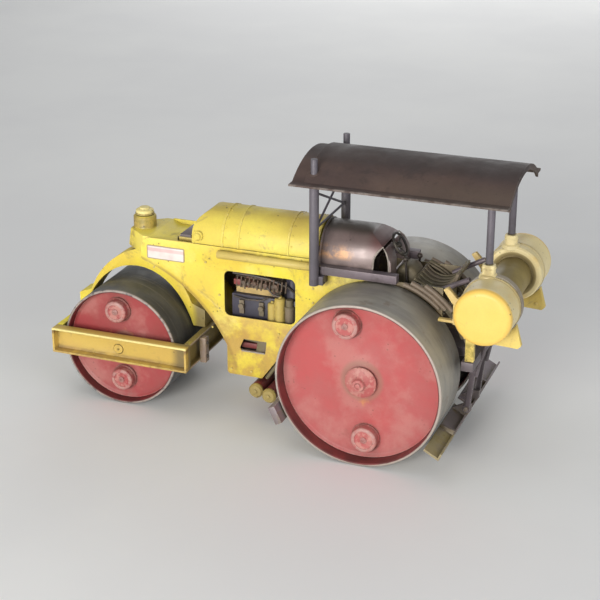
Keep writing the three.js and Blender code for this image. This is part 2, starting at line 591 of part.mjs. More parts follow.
function rearBeam() {
  const { x0, x1, z0, z1, half } = BEAM;
  const beam = box(x0, x1, -half, half, z0, z1);
  const drawbar = box(BODY.rear - 6, x0 + 1, -14, 14, z0, z1);
  const hangers = SIDES.map(([, side]) => hanger(side, PIVOT.rear, z0 + 1, HANGER.lean));
  piece('rear_beam', join(beam, drawbar, ...hangers), GREY());
}

// A rib with a hinge pin through its tip.
function hingeRib(side, [x, z], corners) {
  const { ribAt, pin } = SCRAPER;
  const rib = slab(outline(corners), 'xz', ...sided(side, ribAt - 1, ribAt + 1));
  return join(rib, rod([x, side * ribAt, z], [x, side * (HANGER.outer + 0.8), z], pin));
}

// The rear blade is a shallow trough hugging the tread, stiffened by a second rib in the middle.
function rearScraper(name, side) {
  const { rearX: x, rearZ: z, inner, outer, stiffenerAt } = SCRAPER;
  const [px, pz] = PIVOT.rear;
  const blade = outline([[x, z], [x + 0.9, z + 1.2], [x + 9.6, z - 3.6], [x + 11, z - 0.6], [x + 12, z - 1.2],
    [x + 10, z - 5.6]]);
  const corners = [[x + 0.9, z + 1], [px - 2, pz + 2.6], [px + 2.6, pz + 2.6], [px + 2.6, pz - 2],
    [x + 10, z - 5]];
  const middle = outline([[x + 0.9, z + 1], [x + 1.8, z + 2.4], [x + 11, z - 0.6], [x + 10, z - 5]]);
  piece(`rear_scraper_${name}`, join(
    slab(blade, 'xz', ...sided(side, inner, outer)),
    slab(middle, 'xz', ...sided(side, stiffenerAt - 1, stiffenerAt + 1)),
    hingeRib(side, PIVOT.rear, corners),
  ), GREY());
}

// The front scraper is a bar that lies along the tread, hollowed from its outer face between closed ends.
function frontScraper(name, side) {
  const { inner, outer, frontFacing, frontWidth, frontDepth, clearance } = SCRAPER;
  const turn = THREE.MathUtils.degToRad(frontFacing);
  const [nx, nz] = [Math.cos(turn), Math.sin(turn)];
  const at = (out, along) => {
    const reach = REAR_ROLL.radius + out;
    return [reach * nx - along * nz, REAR_ROLL.radius + reach * nz + along * nx];
  };
  const [near, far, half] = [clearance, clearance + frontDepth, frontWidth / 2];
  const bar = outline([at(near, -half), at(far, -half), at(far, half), at(near, half)]);
  const hollow = outline([at(near + 1.2, 1.2 - half), at(far + 1, 1.2 - half), at(far + 1, half - 1.2),
    at(near + 1.2, half - 1.2)]);
  const [px, pz] = PIVOT.front;
  const tip = [[px + 1, pz - 2.6], [px - 2.6, pz - 1.6], [px - 2, pz + 2.4], [px + 1.6, pz + 2.6]];
  const trough = cut(
    slab(bar, 'xz', ...sided(side, inner, outer)),
    slab(hollow, 'xz', ...sided(side, inner + 1.2, outer - 1.2)),
  );
  const rib = hingeRib(side, PIVOT.front, [at(near + 0.6, 1 - half), at(near + 0.6, half - 1), ...tip]);
  piece(`front_scraper_${name}`, join(trough, rib), GREY());
}

// ---------------------------------------------------------------- assembly

for (const [name, side] of SIDES) rearRoll(name, side);
frontRoll();
frontBogie();
for (const [name, side] of SIDES) piece(`side_plate_${name}`, sidePlate(side), YELLOW());
piece('steering_head', steeringHead(), YELLOW());
piece('trough_floor', troughFloor(), YELLOW());
piece('bonnet', bonnet(), YELLOW());
piece('hood', hood(), GREY());
engine();
bellyAndHousing();
railsAndLedges();
station();
steeringWheel();
levers();
canopy();
tanks();
rearBeam();
for (const [name, side] of SIDES) {
  rearScraper(name, side);
  frontScraper(name, side);
}

const roller = new THREE.Group();
roller.add(machine);

export default roller;
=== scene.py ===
"""Looks of the toy road roller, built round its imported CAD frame."""

import math
from collections import namedtuple

import bmesh
import bpy
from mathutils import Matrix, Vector


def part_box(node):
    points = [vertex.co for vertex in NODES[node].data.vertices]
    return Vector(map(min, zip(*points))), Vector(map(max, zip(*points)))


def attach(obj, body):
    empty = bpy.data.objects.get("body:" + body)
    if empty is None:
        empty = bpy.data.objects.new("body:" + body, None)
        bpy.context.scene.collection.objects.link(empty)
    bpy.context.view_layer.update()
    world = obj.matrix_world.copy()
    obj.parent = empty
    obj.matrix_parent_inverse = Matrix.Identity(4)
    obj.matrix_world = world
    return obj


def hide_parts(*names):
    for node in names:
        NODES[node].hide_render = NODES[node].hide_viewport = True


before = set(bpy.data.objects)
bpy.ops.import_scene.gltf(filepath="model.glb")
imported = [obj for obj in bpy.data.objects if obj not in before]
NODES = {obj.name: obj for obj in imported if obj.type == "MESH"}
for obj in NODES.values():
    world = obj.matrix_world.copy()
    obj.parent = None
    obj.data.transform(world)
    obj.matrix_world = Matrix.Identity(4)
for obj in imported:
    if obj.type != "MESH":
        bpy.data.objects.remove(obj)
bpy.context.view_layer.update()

# Lengths below are millimetres from the rear axle, as in the CAD: x to the rear, y to the right, z up.
MM = 0.001
TREAD_LO, TREAD_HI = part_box("rear_roll_tread_left")
AXLE_X = (TREAD_LO.x + TREAD_HI.x) / 2
SIDES = (("left", -1), ("right", 1))
BOTH = (-1, 1)
X, Y, Z = Vector((1, 0, 0)), Vector((0, 1, 0)), Vector((0, 0, 1))

# A roll's axle is as high as its radius. Its tread ends at outer_edge, and its end disc's face is set in.
Roll = namedtuple("Roll", "x radius wall outer_edge face bore pad hub plugs")
Plug = namedtuple("Plug", "reach turn flange stub height")
REAR = Roll(x=0, radius=55.0, wall=2.2, outer_edge=66.6, face=56, bore=4.6, pad=8.5, hub=10.4,
            plugs=[Plug(39, turn, 9.4, 8.6, 6.4) for turn in (105, 275)])
FRONT = Roll(x=-180.0, radius=41.8, wall=2.0, outer_edge=38, face=30, bore=3.9, pad=7, hub=6,
             plugs=[Plug(25, turn, 8.8, 7.8, 7) for turn in (98, 268)])
REAR_INNER_EDGE = 22.7
KINGPIN_X = -176.2
PLATE_Y = 21.0
LABEL_X0, LABEL_X1, LABEL_Z0, LABEL_Z1 = -165, -137.5, 103.4, 113
BONNET_R, BONNET_Z = 20.5, 120.2
HOOD_R, HOOD_Z = 20.5, 119.1
DRUM_X, DRUM_Z, DRUM_R = 75.0, 108.4, 18.3
COLLAR_X, COLLAR_Y = 71.6, 28.8
ROOF_HALF, ROOF_RISE, ROOF_CROWN = 37.2, 13.7, 188.7
WHEEL_R, WHEEL_BAR, WHEEL_TILT = 7.8, 0.85, 58
EDGE = 0.25

# The camera: degrees round from the left side towards the rear, degrees up, metres away, and its target.
CAMERA_TURN, CAMERA_RISE, CAMERA_DISTANCE = 20.89, 22.30, 1.03294
CAMERA_AIM = (-63.12, 0, 79.41)
CAMERA_LENS, CAMERA_SENSOR = 92.66, 36


def at(x, y, z):
    """A point given in millimetres from the rear axle, in metres in the frame."""
    return Vector((AXLE_X + x * MM, y * MM, z * MM))


def plug_middle(roll, plug):
    """Where a ballast plug stands on its end disc, as x and z."""
    turn = math.radians(plug.turn)
    return roll.x + plug.reach * math.cos(turn), roll.radius + plug.reach * math.sin(turn)


def pair(name):
    """The names of a left and a right node."""
    return [f"{name}_left", f"{name}_right"]


def sided(profile, side):
    """A lathe profile for the right side (1), or mirrored for the left (-1)."""
    return [(radius, side * along) for radius, along in profile]


# ---- mesh tools


def across(axis):
    """Two unit vectors square to an axis."""
    helper = Z if abs(axis.z) < 0.9 else X
    u = axis.cross(helper).normalized()
    return u, axis.cross(u).normalized()


def ring(bm, centre, u, v, radius, segments):
    """A circle of vertices in the plane of u and v."""
    step = 2 * math.pi / segments
    return [
        bm.verts.new(centre + (u * math.cos(i * step) + v * math.sin(i * step)) * radius * MM)
        for i in range(segments)
    ]


def bridge(bm, one, other):
    """Faces between two rings, either of which may be a single point."""
    if len(one) == 1 and len(other) == 1:
        return
    count = max(len(one), len(other))
    for i in range(count):
        j = (i + 1) % count
        if len(one) == 1:
            bm.faces.new((one[0], other[j], other[i]))
        elif len(other) == 1:
            bm.faces.new((one[i], one[j], other[0]))
        else:
            bm.faces.new((one[i], one[j], other[j], other[i]))


def lathe(bm, profile, centre, axis=Y, segments=64):
    """Revolves (radius, along) pairs about an axis through centre. A profile may close on itself."""
    u, v = across(axis)
    closed = profile[0] == profile[-1]
    points = profile[:-1] if closed else profile
    rings = []
    for radius, along in points:
        middle = centre + axis * along * MM
        rings.append([bm.verts.new(middle)] if radius == 0 else ring(bm, middle, u, v, radius, segments))
    for one, other in zip(rings, rings[1:]):
        bridge(bm, one, other)
    if closed:
        bridge(bm, rings[-1], rings[0])


def tube(bm, points, radius, segments=12):
    """A round bar along a run of points, with closed ends."""
    rings = []
    u = None
    for i, point in enumerate(points):
        ahead = (points[min(i + 1, len(points) - 1)] - points[max(i - 1, 0)]).normalized()
        u = across(ahead)[0] if u is None else (u - ahead * u.dot(ahead)).normalized()
        rings.append(ring(bm, point, u, ahead.cross(u), radius, segments))
    for one, other in zip(rings, rings[1:]):
        bridge(bm, one, other)
    for end in (rings[0], rings[-1]):
        bm.faces.new(end)


def plate(bm, outline, low, high, plane="xz"):
    """A flat outline made thick from low to high along the third axis."""
    place = {
        "xz": lambda p, t: at(p[0], t, p[1]),
        "yz": lambda p, t: at(t, p[0], p[1]),
        "xy": lambda p, t: at(p[0], p[1], t),
    }[plane]
    one = [bm.verts.new(place(p, low)) for p in outline]
    other = [bm.verts.new(place(p, high)) for p in outline]
    bm.faces.new(one)
    bm.faces.new(other)
    bridge(bm, one, other)


def block(bm, x0, x1, y0, y1, z0, z1):
    """A square block between two corners."""
    plate(bm, [(x0, z0), (x1, z0), (x1, z1), (x0, z1)], y0, y1)


def arc(cx, cy, radius, start, end, steps):
    """Points on an arc, in degrees."""
    turns = [math.radians(start + (end - start) * i / steps) for i in range(steps + 1)]
    return [(cx + radius * math.cos(t), cy + radius * math.sin(t)) for t in turns]


def rounded(x0, x1, z0, z1, corner):
    """A rectangle's outline with round corners."""
    middles = [(x1 - corner, z1 - corner), (x0 + corner, z1 - corner), (x0 + corner, z0 + corner),
               (x1 - corner, z0 + corner)]
    return [point for i, (x, z) in enumerate(middles) for point in arc(x, z, corner, 90 * i, 90 * i + 90, 4)]


def bolt(bm, place, axis, size, washer=True):
    """A hexagon head on a washer, standing on the surface at place."""
    if washer:
        disc = [(0, -0.2), (size * 1.35, -0.2), (size * 1.35, 0.25), (size * 1.2, 0.4), (0, 0.4)]
        lathe(bm, disc, place, axis, 20)
    head = [(0, 0), (size, 0), (size, size * 0.75), (size * 0.8, size * 0.95), (0, size * 0.95)]
    lathe(bm, head, place, axis, 6)


def soften_edges(obj, width):
    """A small rounding on every crisp edge."""
    soften = obj.modifiers.new("soft edges", "BEVEL")
    soften.width = width * MM
    soften.segments = 2
    soften.limit_method = "ANGLE"
    soften.angle_limit = math.radians(40)


def smooth_by_angle(obj, degrees=35):
    """Smooth shading inside each face group, crisp where faces meet at more than the angle."""
    obj.data.shade_smooth()
    split = obj.modifiers.new("crisp edges", "EDGE_SPLIT")
    split.split_angle = math.radians(degrees)
    split.use_edge_sharp = False


def piece(name, bm, material, body="chassis", bevel=0.0, angle=35, replaces=()):
    """Turns a bmesh into a named piece that rides on a CAD body, with its material's slot."""
    bmesh.ops.recalc_face_normals(bm, faces=bm.faces)
    mesh = bpy.data.meshes.new(name)
    bm.to_mesh(mesh)
    bm.free()
    mesh.materials.append(material)
    obj = bpy.data.objects.new(name, mesh)
    bpy.context.scene.collection.objects.link(obj)
    if bevel:
        soften_edges(obj, bevel)
    smooth_by_angle(obj, angle)
    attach(obj, body)
    if replaces:
        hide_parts(*replaces)


# ---- materials


def linear(tone):
    """A display colour (0 to 255) as the linear values a shader takes. A socket stays as it is."""
    if isinstance(tone, bpy.types.NodeSocket):
        return tone
    return (*[((c / 255 + 0.055) / 1.055) ** 2.4 if c > 10 else c / 3294.6 for c in tone], 1)


class Graph:
    """Builds one material's node tree. Most methods return the socket they made."""

    def __init__(self, name):
        self.material = bpy.data.materials.new(name)
        self.material.use_nodes = True
        self.tree = self.material.node_tree
        self.tree.nodes.clear()
        self.where = self.node("ShaderNodeTexCoord").outputs["Object"]
        self.colour = None

    def node(self, kind, inputs=None, **settings):
        """A node whose inputs are linked to sockets or set to values."""
        made = self.tree.nodes.new(kind)
        for key, value in settings.items():
            setattr(made, key, value)
        for key, value in (inputs or {}).items():
            if isinstance(value, bpy.types.NodeSocket):
                self.tree.links.new(value, made.inputs[key])
            else:
                made.inputs[key].default_value = value
        return made

    def noise(self, scale, detail, roughness=0.55, distortion=0.0, where=None):
        """Cloudy noise from 0 to 1."""
        sockets = {
            "Vector": where or self.where,
            "Scale": scale,
            "Detail": detail,
            "Roughness": roughness,
            "Distortion": distortion,
        }
        return self.node("ShaderNodeTexNoise", sockets).outputs["Fac"]

    def cells(self, scale):
        """Distance from the middle of the nearest cell."""
        sockets = {"Vector": self.where, "Scale": scale}
        return self.node("ShaderNodeTexVoronoi", sockets, feature="F1").outputs["Distance"]

    def math(self, operation, a, b=0.0):
        """One sum, product or other operation on numbers."""
        return self.node("ShaderNodeMath", {0: a, 1: b}, operation=operation).outputs[0]

    def mask(self, value, low, high):
        """0 below low and 1 above high, or the other way round when low is above high."""
        flip = low > high
        sockets = {"Value": value, "From Min": min(low, high), "From Max": max(low, high)}
        sockets.update({"To Min": 1.0, "To Max": 0.0} if flip else {"To Min": 0.0, "To Max": 1.0})
        return self.node("ShaderNodeMapRange", sockets, interpolation_type="SMOOTHSTEP").outputs["Result"]

    def patches(self, scale, detail, low, high, roughness=0.55, distortion=0.0, where=None):
        """Noise cut into soft-edged patches."""
        return self.mask(self.noise(scale, detail, roughness, distortion, where), low, high)

    def mix(self, factor, a, b):
        """Tone a, or tone b where the factor is 1."""
        sockets = {0: factor, 6: linear(a), 7: linear(b)}
        return self.node("ShaderNodeMix", sockets, data_type="RGBA").outputs[2]

    def paint(self, factor, tone):
        """Lays a tone over the colour so far, where the factor says."""
        self.colour = self.mix(factor, self.colour, tone)

    def both(self, *masks):
        """Masks and strengths multiplied together."""
        whole = masks[0]
        for other in masks[1:]:
            whole = self.math("MULTIPLY", whole, other)
        return whole

    def axis(self, letter, offset=0.0):
        """A coordinate of the resting object, in millimetres from the rear axle."""
        split = self.node("ShaderNodeSeparateXYZ", {0: self.where}).outputs[letter.upper()]
        start = AXLE_X if letter == "x" else 0.0
        return self.math("MULTIPLY", self.math("SUBTRACT", split, start + offset * MM), 1000.0)

    def along(self, letter, low, high):
        """A mask that changes along one axis."""
        return self.mask(self.axis(letter), low, high)

    def outward(self, low, high):
        """A mask that changes outwards from the centre plane."""
        return self.mask(self.math("ABSOLUTE", self.axis("y")), low, high)

    def near(self, value, middle, low, high):
        """A mask on how far a value is from a middle one."""
        return self.mask(self.math("ABSOLUTE", self.math("SUBTRACT", value, middle)), low, high)

    def radius(self, x, z):
        """Distance from a line parallel to Y, in millimetres."""
        dx, dz = self.axis("x", x), self.axis("z", z)
        squares = self.math("ADD", self.math("MULTIPLY", dx, dx), self.math("MULTIPLY", dz, dz))
        return self.math("SQRT", squares)

    def around(self, x, z, stretch):
        """Coordinates that run along a turned surface, so marks follow its round."""
        turn = self.math("ARCTAN2", self.axis("z", z), self.axis("x", x))
        sockets = {0: self.math("MULTIPLY", turn, stretch), 1: self.axis("y"), 2: self.radius(x, z)}
        return self.node("ShaderNodeCombineXYZ", sockets).outputs[0]

    def edges(self, radius=0.7):
        """1 on outer edges, by how far a rounded normal turns from the true one."""
        soft = self.node("ShaderNodeBevel", {"Radius": radius * MM}, samples=4).outputs["Normal"]
        true = self.node("ShaderNodeNewGeometry").outputs["Normal"]
        turned = self.node("ShaderNodeVectorMath", {0: soft, 1: true}, operation="DOT_PRODUCT")
        return self.mask(turned.outputs["Value"], 0.97, 0.80)

    def hollow(self, distance=7.0):
        """1 deep in corners, 0 in the open."""
        occlusion = self.node("ShaderNodeAmbientOcclusion", {"Distance": distance * MM}, samples=6)
        return self.mask(occlusion.outputs["AO"], 0.85, 0.30)

    def uneven(self, noise, low, high):
        """A roughness that wanders between two values."""
        sockets = {"Value": noise, "From Min": 0.3, "From Max": 0.7, "To Min": low, "To Max": high}
        return self.node("ShaderNodeMapRange", sockets).outputs["Result"]

    def stretched(self, vector, scale):
        """Texture coordinates scaled by a different amount each way."""
        return self.node("ShaderNodeMapping", {"Vector": vector, "Scale": scale}).outputs[0]

    def shade(self, roughness, metallic, height, bump, coat=0.0):
        """Ends the tree with a shader and its bump, and returns the material."""
        sockets = {"Strength": bump, "Distance": 0.4 * MM, "Height": height}
        normal = self.node("ShaderNodeBump", sockets).outputs[0]
        surface = self.node("ShaderNodeBsdfPrincipled", {
            "Base Color": self.colour,
            "Roughness": roughness,
            "Metallic": metallic,
            "Normal": normal,
            "Coat Weight": coat,
            "Coat Roughness": 0.35,
        })
        self.node("ShaderNodeOutputMaterial", {"Surface": surface.outputs[0]})
        return self.material


def worn_paint(name, base, alt, stain, worn, stain_level=0.56, chip_level=0.63, speck=0.6, rough=0.5,
               metallic=0.0, grime=0.75, tints=None, coat=0.0, streak=0.0):
    """Old paint in two tones, stained and specked, with patchy grime and painted shade in corners, and edges
    rubbed pale, partly as a painted highlight, and chipped.
    """
    g = Graph(name)
    g.colour = g.mix(g.patches(26, 4, 0.36, 0.66, 0.6), base, alt)
    if tints:
        tints(g)
    stains = g.patches(75, 6, stain_level, stain_level + 0.16, 0.68, 0.6)
    g.paint(g.both(stains, 0.55), stain)
    if streak:
        runs = g.patches(1, 4, 0.55, 0.75, 0.6, where=g.stretched(g.where, (260, 260, 22)))
        g.paint(g.both(runs, streak), stain)
    fine = g.noise(900, 3, 0.6)
    g.paint(g.both(g.mask(fine, 0.35, 0.75), 0.10), stain)
    dots = g.both(g.mask(g.cells(260), 0.20, 0.10), g.patches(60, 3, 0.53, 0.62), speck)
    g.paint(dots, (62, 50, 40))
    # Pale edges in the worn tone: partly rubbed paint, partly a painted highlight along the edges.
    rubbed = g.both(g.edges(), g.patches(420, 5, 0.42, 0.58, 0.7), 0.65)
    g.paint(rubbed, worn)
    chips = g.patches(190, 7, chip_level, chip_level + 0.025, 0.72)
    near_edge = g.math("MAXIMUM", g.edges(2.6), g.patches(20, 2, 0.62, 0.70))
    chipped = g.both(chips, near_edge, 0.85)
    g.paint(chipped, (88, 66, 52))
    # Patchy darkening in corners from the occlusion mask, its strength set by grime: partly grime, partly
    # painted shade.
    dirt = g.both(g.hollow(), g.patches(120, 4, 0.25, 0.60), grime)
    g.paint(dirt, g.mix(0.55, stain, (46, 38, 32)))
    roughness = g.uneven(g.noise(48, 4, 0.6), rough - 0.12, rough + 0.16)
    height = g.math("SUBTRACT", g.math("MULTIPLY", fine, 0.35), g.math("MULTIPLY", chipped, 1.0))
    height = g.math("ADD", height, g.math("MULTIPLY", g.noise(240, 4), 0.5))
    return g.shade(roughness, metallic, height, 0.35, coat)


def yellow_tints(g):
    """Brighter towards the top front as painted light, browner down low, dirty round the collar and the nose.
    """
    low = g.both(g.along("z", 104, 40), g.patches(34, 4, 0.36, 0.60), 0.7)
    g.paint(low, (200, 156, 74))
    faded = g.both(g.patches(21, 5, 0.50, 0.64, 0.65), 0.55)
    g.paint(faded, (242, 228, 136))
    # Painted light: the top front made brighter, as where light falls.
    front = g.both(g.along("x", -108, -150), g.along("z", 84, 104), 0.5)
    g.paint(front, (248, 226, 92))
    collar = g.both(g.along("z", 117.6, 119), g.along("z", 127, 125.6), 0.8)
    dirty = g.mix(g.patches(180, 4, 0.4, 0.6), (120, 104, 62), (176, 150, 84))
    g.paint(collar, dirty)
    nose = g.both(g.along("x", -176, -182), g.along("z", 100, 104), g.patches(130, 5, 0.42, 0.60, 0.7), 0.6)
    g.paint(nose, (128, 104, 60))


def plate_tints(g):
    """Blotched under the window, brown along the arch, a painted shadow under the rail, painted shade on the
    inside faces and olive by the driver.
    """
    yellow_tints(g)
    blotch = g.both(g.along("z", 74, 64), g.patches(52, 6, 0.40, 0.58, 0.7), 0.8)
    g.paint(blotch, (190, 150, 80))
    arch = g.both(g.mask(g.radius(-200.2, 4.2), 105.4, 103.0), g.patches(90, 4, 0.30, 0.52), 0.6)
    g.paint(arch, (150, 116, 66))
    # Painted shadow: a dark brown band on the plate just under the rail.
    shadow_under_rail = g.both(g.along("z", 109.6, 110.6), g.along("z", 112.6, 111.8),
                        g.near(g.axis("x"), -79, 34.0, 32.6), 0.75)
    g.paint(shadow_under_rail, (128, 94, 52))
    # Painted shade: the inside faces of the plates made dark brown.
    inside = g.both(g.outward(20.6, 20.2), g.along("z", 113, 111))
    g.paint(inside, (100, 86, 74))
    station = g.both(g.along("x", -14, -4), g.along("z", 70, 84))
    olive = g.mix(g.patches(70, 5, 0.40, 0.60, 0.65), (104, 92, 66), (136, 120, 92))
    g.paint(station, olive)


def bogie_tints(g):
    """A painted highlight on the flange edges, over a brown band that is partly a seam and partly painted
    shade, and grime at the rear end.
    """
    rail = g.outward(38.4, 38.8)
    g.paint(g.both(rail, 0.8), (198, 162, 88))
    # A brown band on the web under the top flange: partly a dark seam line, partly painted shade.
    seam = g.both(rail, g.along("z", 47.2, 49.8), g.along("z", 51.3, 51.1), 0.85)
    g.paint(seam, (122, 88, 54))
    foot = g.both(rail, g.along("z", 39.0, 36.6), g.patches(100, 4, 0.30, 0.55), 0.7)
    g.paint(foot, (158, 126, 74))
    # Painted highlight along the outer lips of the top flanges.
    lip = g.both(g.outward(44.6, 46.0), g.along("z", 50.8, 51.2), 0.7)
    g.paint(lip, (252, 240, 160))
    inner = g.outward(38.6, 38.0)
    grime = g.both(g.along("x", -142, -134), g.patches(70, 5, 0.14, 0.44, 0.7), 0.9)
    g.paint(g.both(grime, g.outward(45.5, 40)), (118, 104, 70))
    lugs = g.both(g.along("x", -127.4, -126.8), inner, 0.85)
    g.paint(lugs, (160, 140, 130))


def cradle_tints(g):
    """Tan hooked arms and mottled olive-yellow legs."""
    arm = g.both(g.along("x", 60, 57), g.patches(70, 4, 0.25, 0.55), 0.75)
    g.paint(arm, (214, 184, 124))
    leg = g.both(g.along("z", 84, 80), g.patches(110, 5, 0.36, 0.56, 0.7), 0.85)
    g.paint(leg, (150, 134, 62))


def bonnet_tints(g):
    """Duller along the crown, which is painted shade, and duller towards the rear."""
    # Painted shade: the crown darker, as the top faces away from the light.
    crown = g.both(g.along("z", 134, 139), g.patches(60, 4, 0.20, 0.60), 0.5)
    g.paint(crown, (186, 158, 76))
    rear = g.both(g.along("x", -76, -62), g.along("z", 128, 134), 0.4)
    g.paint(rear, (176, 148, 76))


def drum_tints(g):
    """Bright ends, tan bodies."""
    body = g.both(g.outward(53.6, 51.0), g.patches(40, 4, 0.20, 0.50), 0.85)
    g.paint(body, (246, 232, 180))
    ring_of_dirt = g.both(g.outward(35.4, 34.2), g.outward(32.0, 33.0), 0.6)
    g.paint(ring_of_dirt, (140, 118, 72))
    dish = g.both(g.outward(27, 26), g.mask(g.radius(DRUM_X, DRUM_Z), 15.4, 14.6), 0.7)
    g.paint(dish, (140, 122, 78))


def hood_tints(g):
    """A dark green top, partly a dirty tint and partly painted shade, a dull red rear dome, and patches of
    painted warm highlight along the flanks.
    """
    # The darker top is partly a dirty tint and partly painted shade.
    top = g.both(g.along("z", 134.5, 138.5), 0.8)
    g.paint(top, (70, 68, 58))
    dome = g.both(g.along("x", -14, -4), g.along("z", 124, 131), 0.7)
    g.paint(dome, (104, 62, 60))
    band = g.both(g.along("z", 119, 123), g.along("z", 131, 125), g.along("x", -16, -26))
    # Patches of painted highlight along the flanks, in a warm metallic tone.
    copper_highlight = g.both(band, g.patches(110, 5, 0.42, 0.60, 0.6), 0.75)
    g.paint(copper_highlight, (222, 166, 112))


def canopy_tints(g):
    """Olive brown towards the rear, darker along the crown as painted shade, scuffed along the brims."""
    rear = g.both(g.along("x", -40, 60), g.along("z", 186, 178), 0.6)
    g.paint(rear, (84, 70, 58))
    # Painted shade: the crown darker, as the top faces away from the light.
    crown = g.both(g.along("z", 183, 187), 0.6)
    g.paint(crown, (50, 42, 40))
    brim = g.both(g.outward(41.5, 43.5), g.patches(150, 4, 0.40, 0.60), 0.5)
    g.paint(brim, (150, 140, 132))


def olive_tints(g):
    """Patches of brown grey and of pale olive."""
    g.paint(g.both(g.patches(46, 3, 0.48, 0.60), 0.6), (132, 116, 100))
    g.paint(g.both(g.patches(80, 4, 0.56, 0.66), 0.5), (150, 148, 110))


def head_tints(g):
    """Mottled grey-olive above and behind, cream below and in front."""
    upper = g.math("MAXIMUM", g.along("z", 88.6, 89.6), g.along("x", -80, -77))
    dull = g.mix(g.patches(150, 5, 0.42, 0.58, 0.7), (86, 76, 66), (132, 116, 96))
    g.paint(upper, dull)
    red = g.both(g.patches(64, 4, 0.56, 0.64), upper, 0.6)
    g.paint(red, (150, 76, 66))


def blade_tints(g):
    """Purple grey, with olive showing on the outer half of the left rear blade."""
    outer_half = g.both(g.along("x", 40, 44), g.along("y", -38, -44))
    patchy = g.patches(90, 4, 0.30, 0.56)
    g.paint(g.both(outer_half, patchy, 0.7), (164, 150, 98))


def body_yellow(name, tints):
    """The yellow of the body, with the marks of one part of it."""
    return worn_paint(name, (240, 222, 70), (230, 202, 72), (150, 126, 78), (250, 240, 170),
                      stain_level=0.54, tints=tints)


YELLOW = body_yellow("yellow paint", yellow_tints)
PLATE_YELLOW = body_yellow("side plate yellow", plate_tints)
BOGIE_YELLOW = body_yellow("bogie yellow", bogie_tints)
PALE_YELLOW = worn_paint("cap yellow", (242, 226, 152), (230, 208, 122), (140, 118, 74),
                         (252, 244, 200), stain_level=0.52)
RAIL_YELLOW = worn_paint("rail yellow", (212, 190, 102), (196, 172, 92), (150, 126, 78),
                         (246, 232, 170))
CRADLE_YELLOW = worn_paint("cradle yellow", (238, 212, 118), (224, 196, 104), (150, 126, 78),
                           (250, 240, 190), tints=cradle_tints)
CANISTER = worn_paint("canister yellow", (206, 184, 98), (188, 164, 84), (120, 98, 58),
                      (232, 218, 150), stain_level=0.52, speck=0.9)
BONNET_YELLOW = worn_paint("bonnet yellow", (236, 220, 92), (226, 204, 86), (158, 136, 88),
                           (250, 238, 176), chip_level=0.60, speck=0.9, tints=bonnet_tints)
DRUM_YELLOW = worn_paint("tank yellow", (244, 204, 102), (240, 196, 92), (160, 136, 82),
                         (250, 240, 180), tints=drum_tints, stain_level=0.60, rough=0.42)
GREY = worn_paint("grey paint", (118, 106, 112), (104, 96, 98), (72, 64, 60), (196, 184, 178),
                  rough=0.45, metallic=0.15)
POST_GREY = worn_paint("post grey", (108, 102, 110), (96, 92, 98), (72, 66, 64), (150, 144, 146),
                       rough=0.5, metallic=0.1, streak=0.3)
HOOD_GREY = worn_paint("hood grey", (136, 118, 114), (122, 106, 102), (92, 80, 78), (214, 204, 196),
                       tints=hood_tints, rough=0.38, metallic=0.2, coat=0.2)
CANOPY = worn_paint("canopy brown", (72, 56, 52), (88, 69, 61), (52, 43, 40), (126, 113, 104),
                    tints=canopy_tints, rough=0.6, stain_level=0.52)
OLIVE = worn_paint("olive paint", (124, 114, 84), (108, 98, 76), (74, 66, 52), (176, 166, 136),
                   tints=olive_tints, rough=0.6)
BLADE_GREY = worn_paint("blade grey", (136, 124, 130), (120, 110, 108), (146, 128, 66), (214, 204, 196),
                        rough=0.5, metallic=0.15, stain_level=0.54, tints=blade_tints)
FENDER = worn_paint("fender brown", (134, 118, 100), (112, 98, 84), (82, 72, 58), (186, 172, 152),
                    rough=0.5)
KHAKI = worn_paint("khaki paint", (168, 148, 84), (146, 128, 76), (110, 92, 60), (214, 196, 130))
STRAP_LILAC = worn_paint("lilac strap", (156, 146, 140), (170, 158, 136), (132, 116, 84),
                         (206, 200, 186), stain_level=0.50)
LIP_PALE = worn_paint("bare lip", (168, 158, 146), (140, 130, 122), (98, 88, 78), (220, 214, 202),
                      chip_level=0.70, grime=0.5, stain_level=0.48)
RUSTY = worn_paint("rusty casting", (98, 84, 70), (84, 72, 62), (122, 76, 60), (150, 136, 112),
                   stain_level=0.48, speck=0.9)
MAROON = worn_paint("maroon paint", (140, 62, 60), (120, 52, 50), (84, 56, 48), (200, 150, 130))
TAN = worn_paint("tan casting", (214, 186, 124), (196, 166, 104), (96, 78, 54), (226, 206, 156),
                 stain_level=0.50, speck=1.0, grime=0.4, tints=head_tints)
INDIGO = worn_paint("blue grey casting", (76, 72, 86), (64, 62, 74), (44, 42, 46), (130, 124, 130))


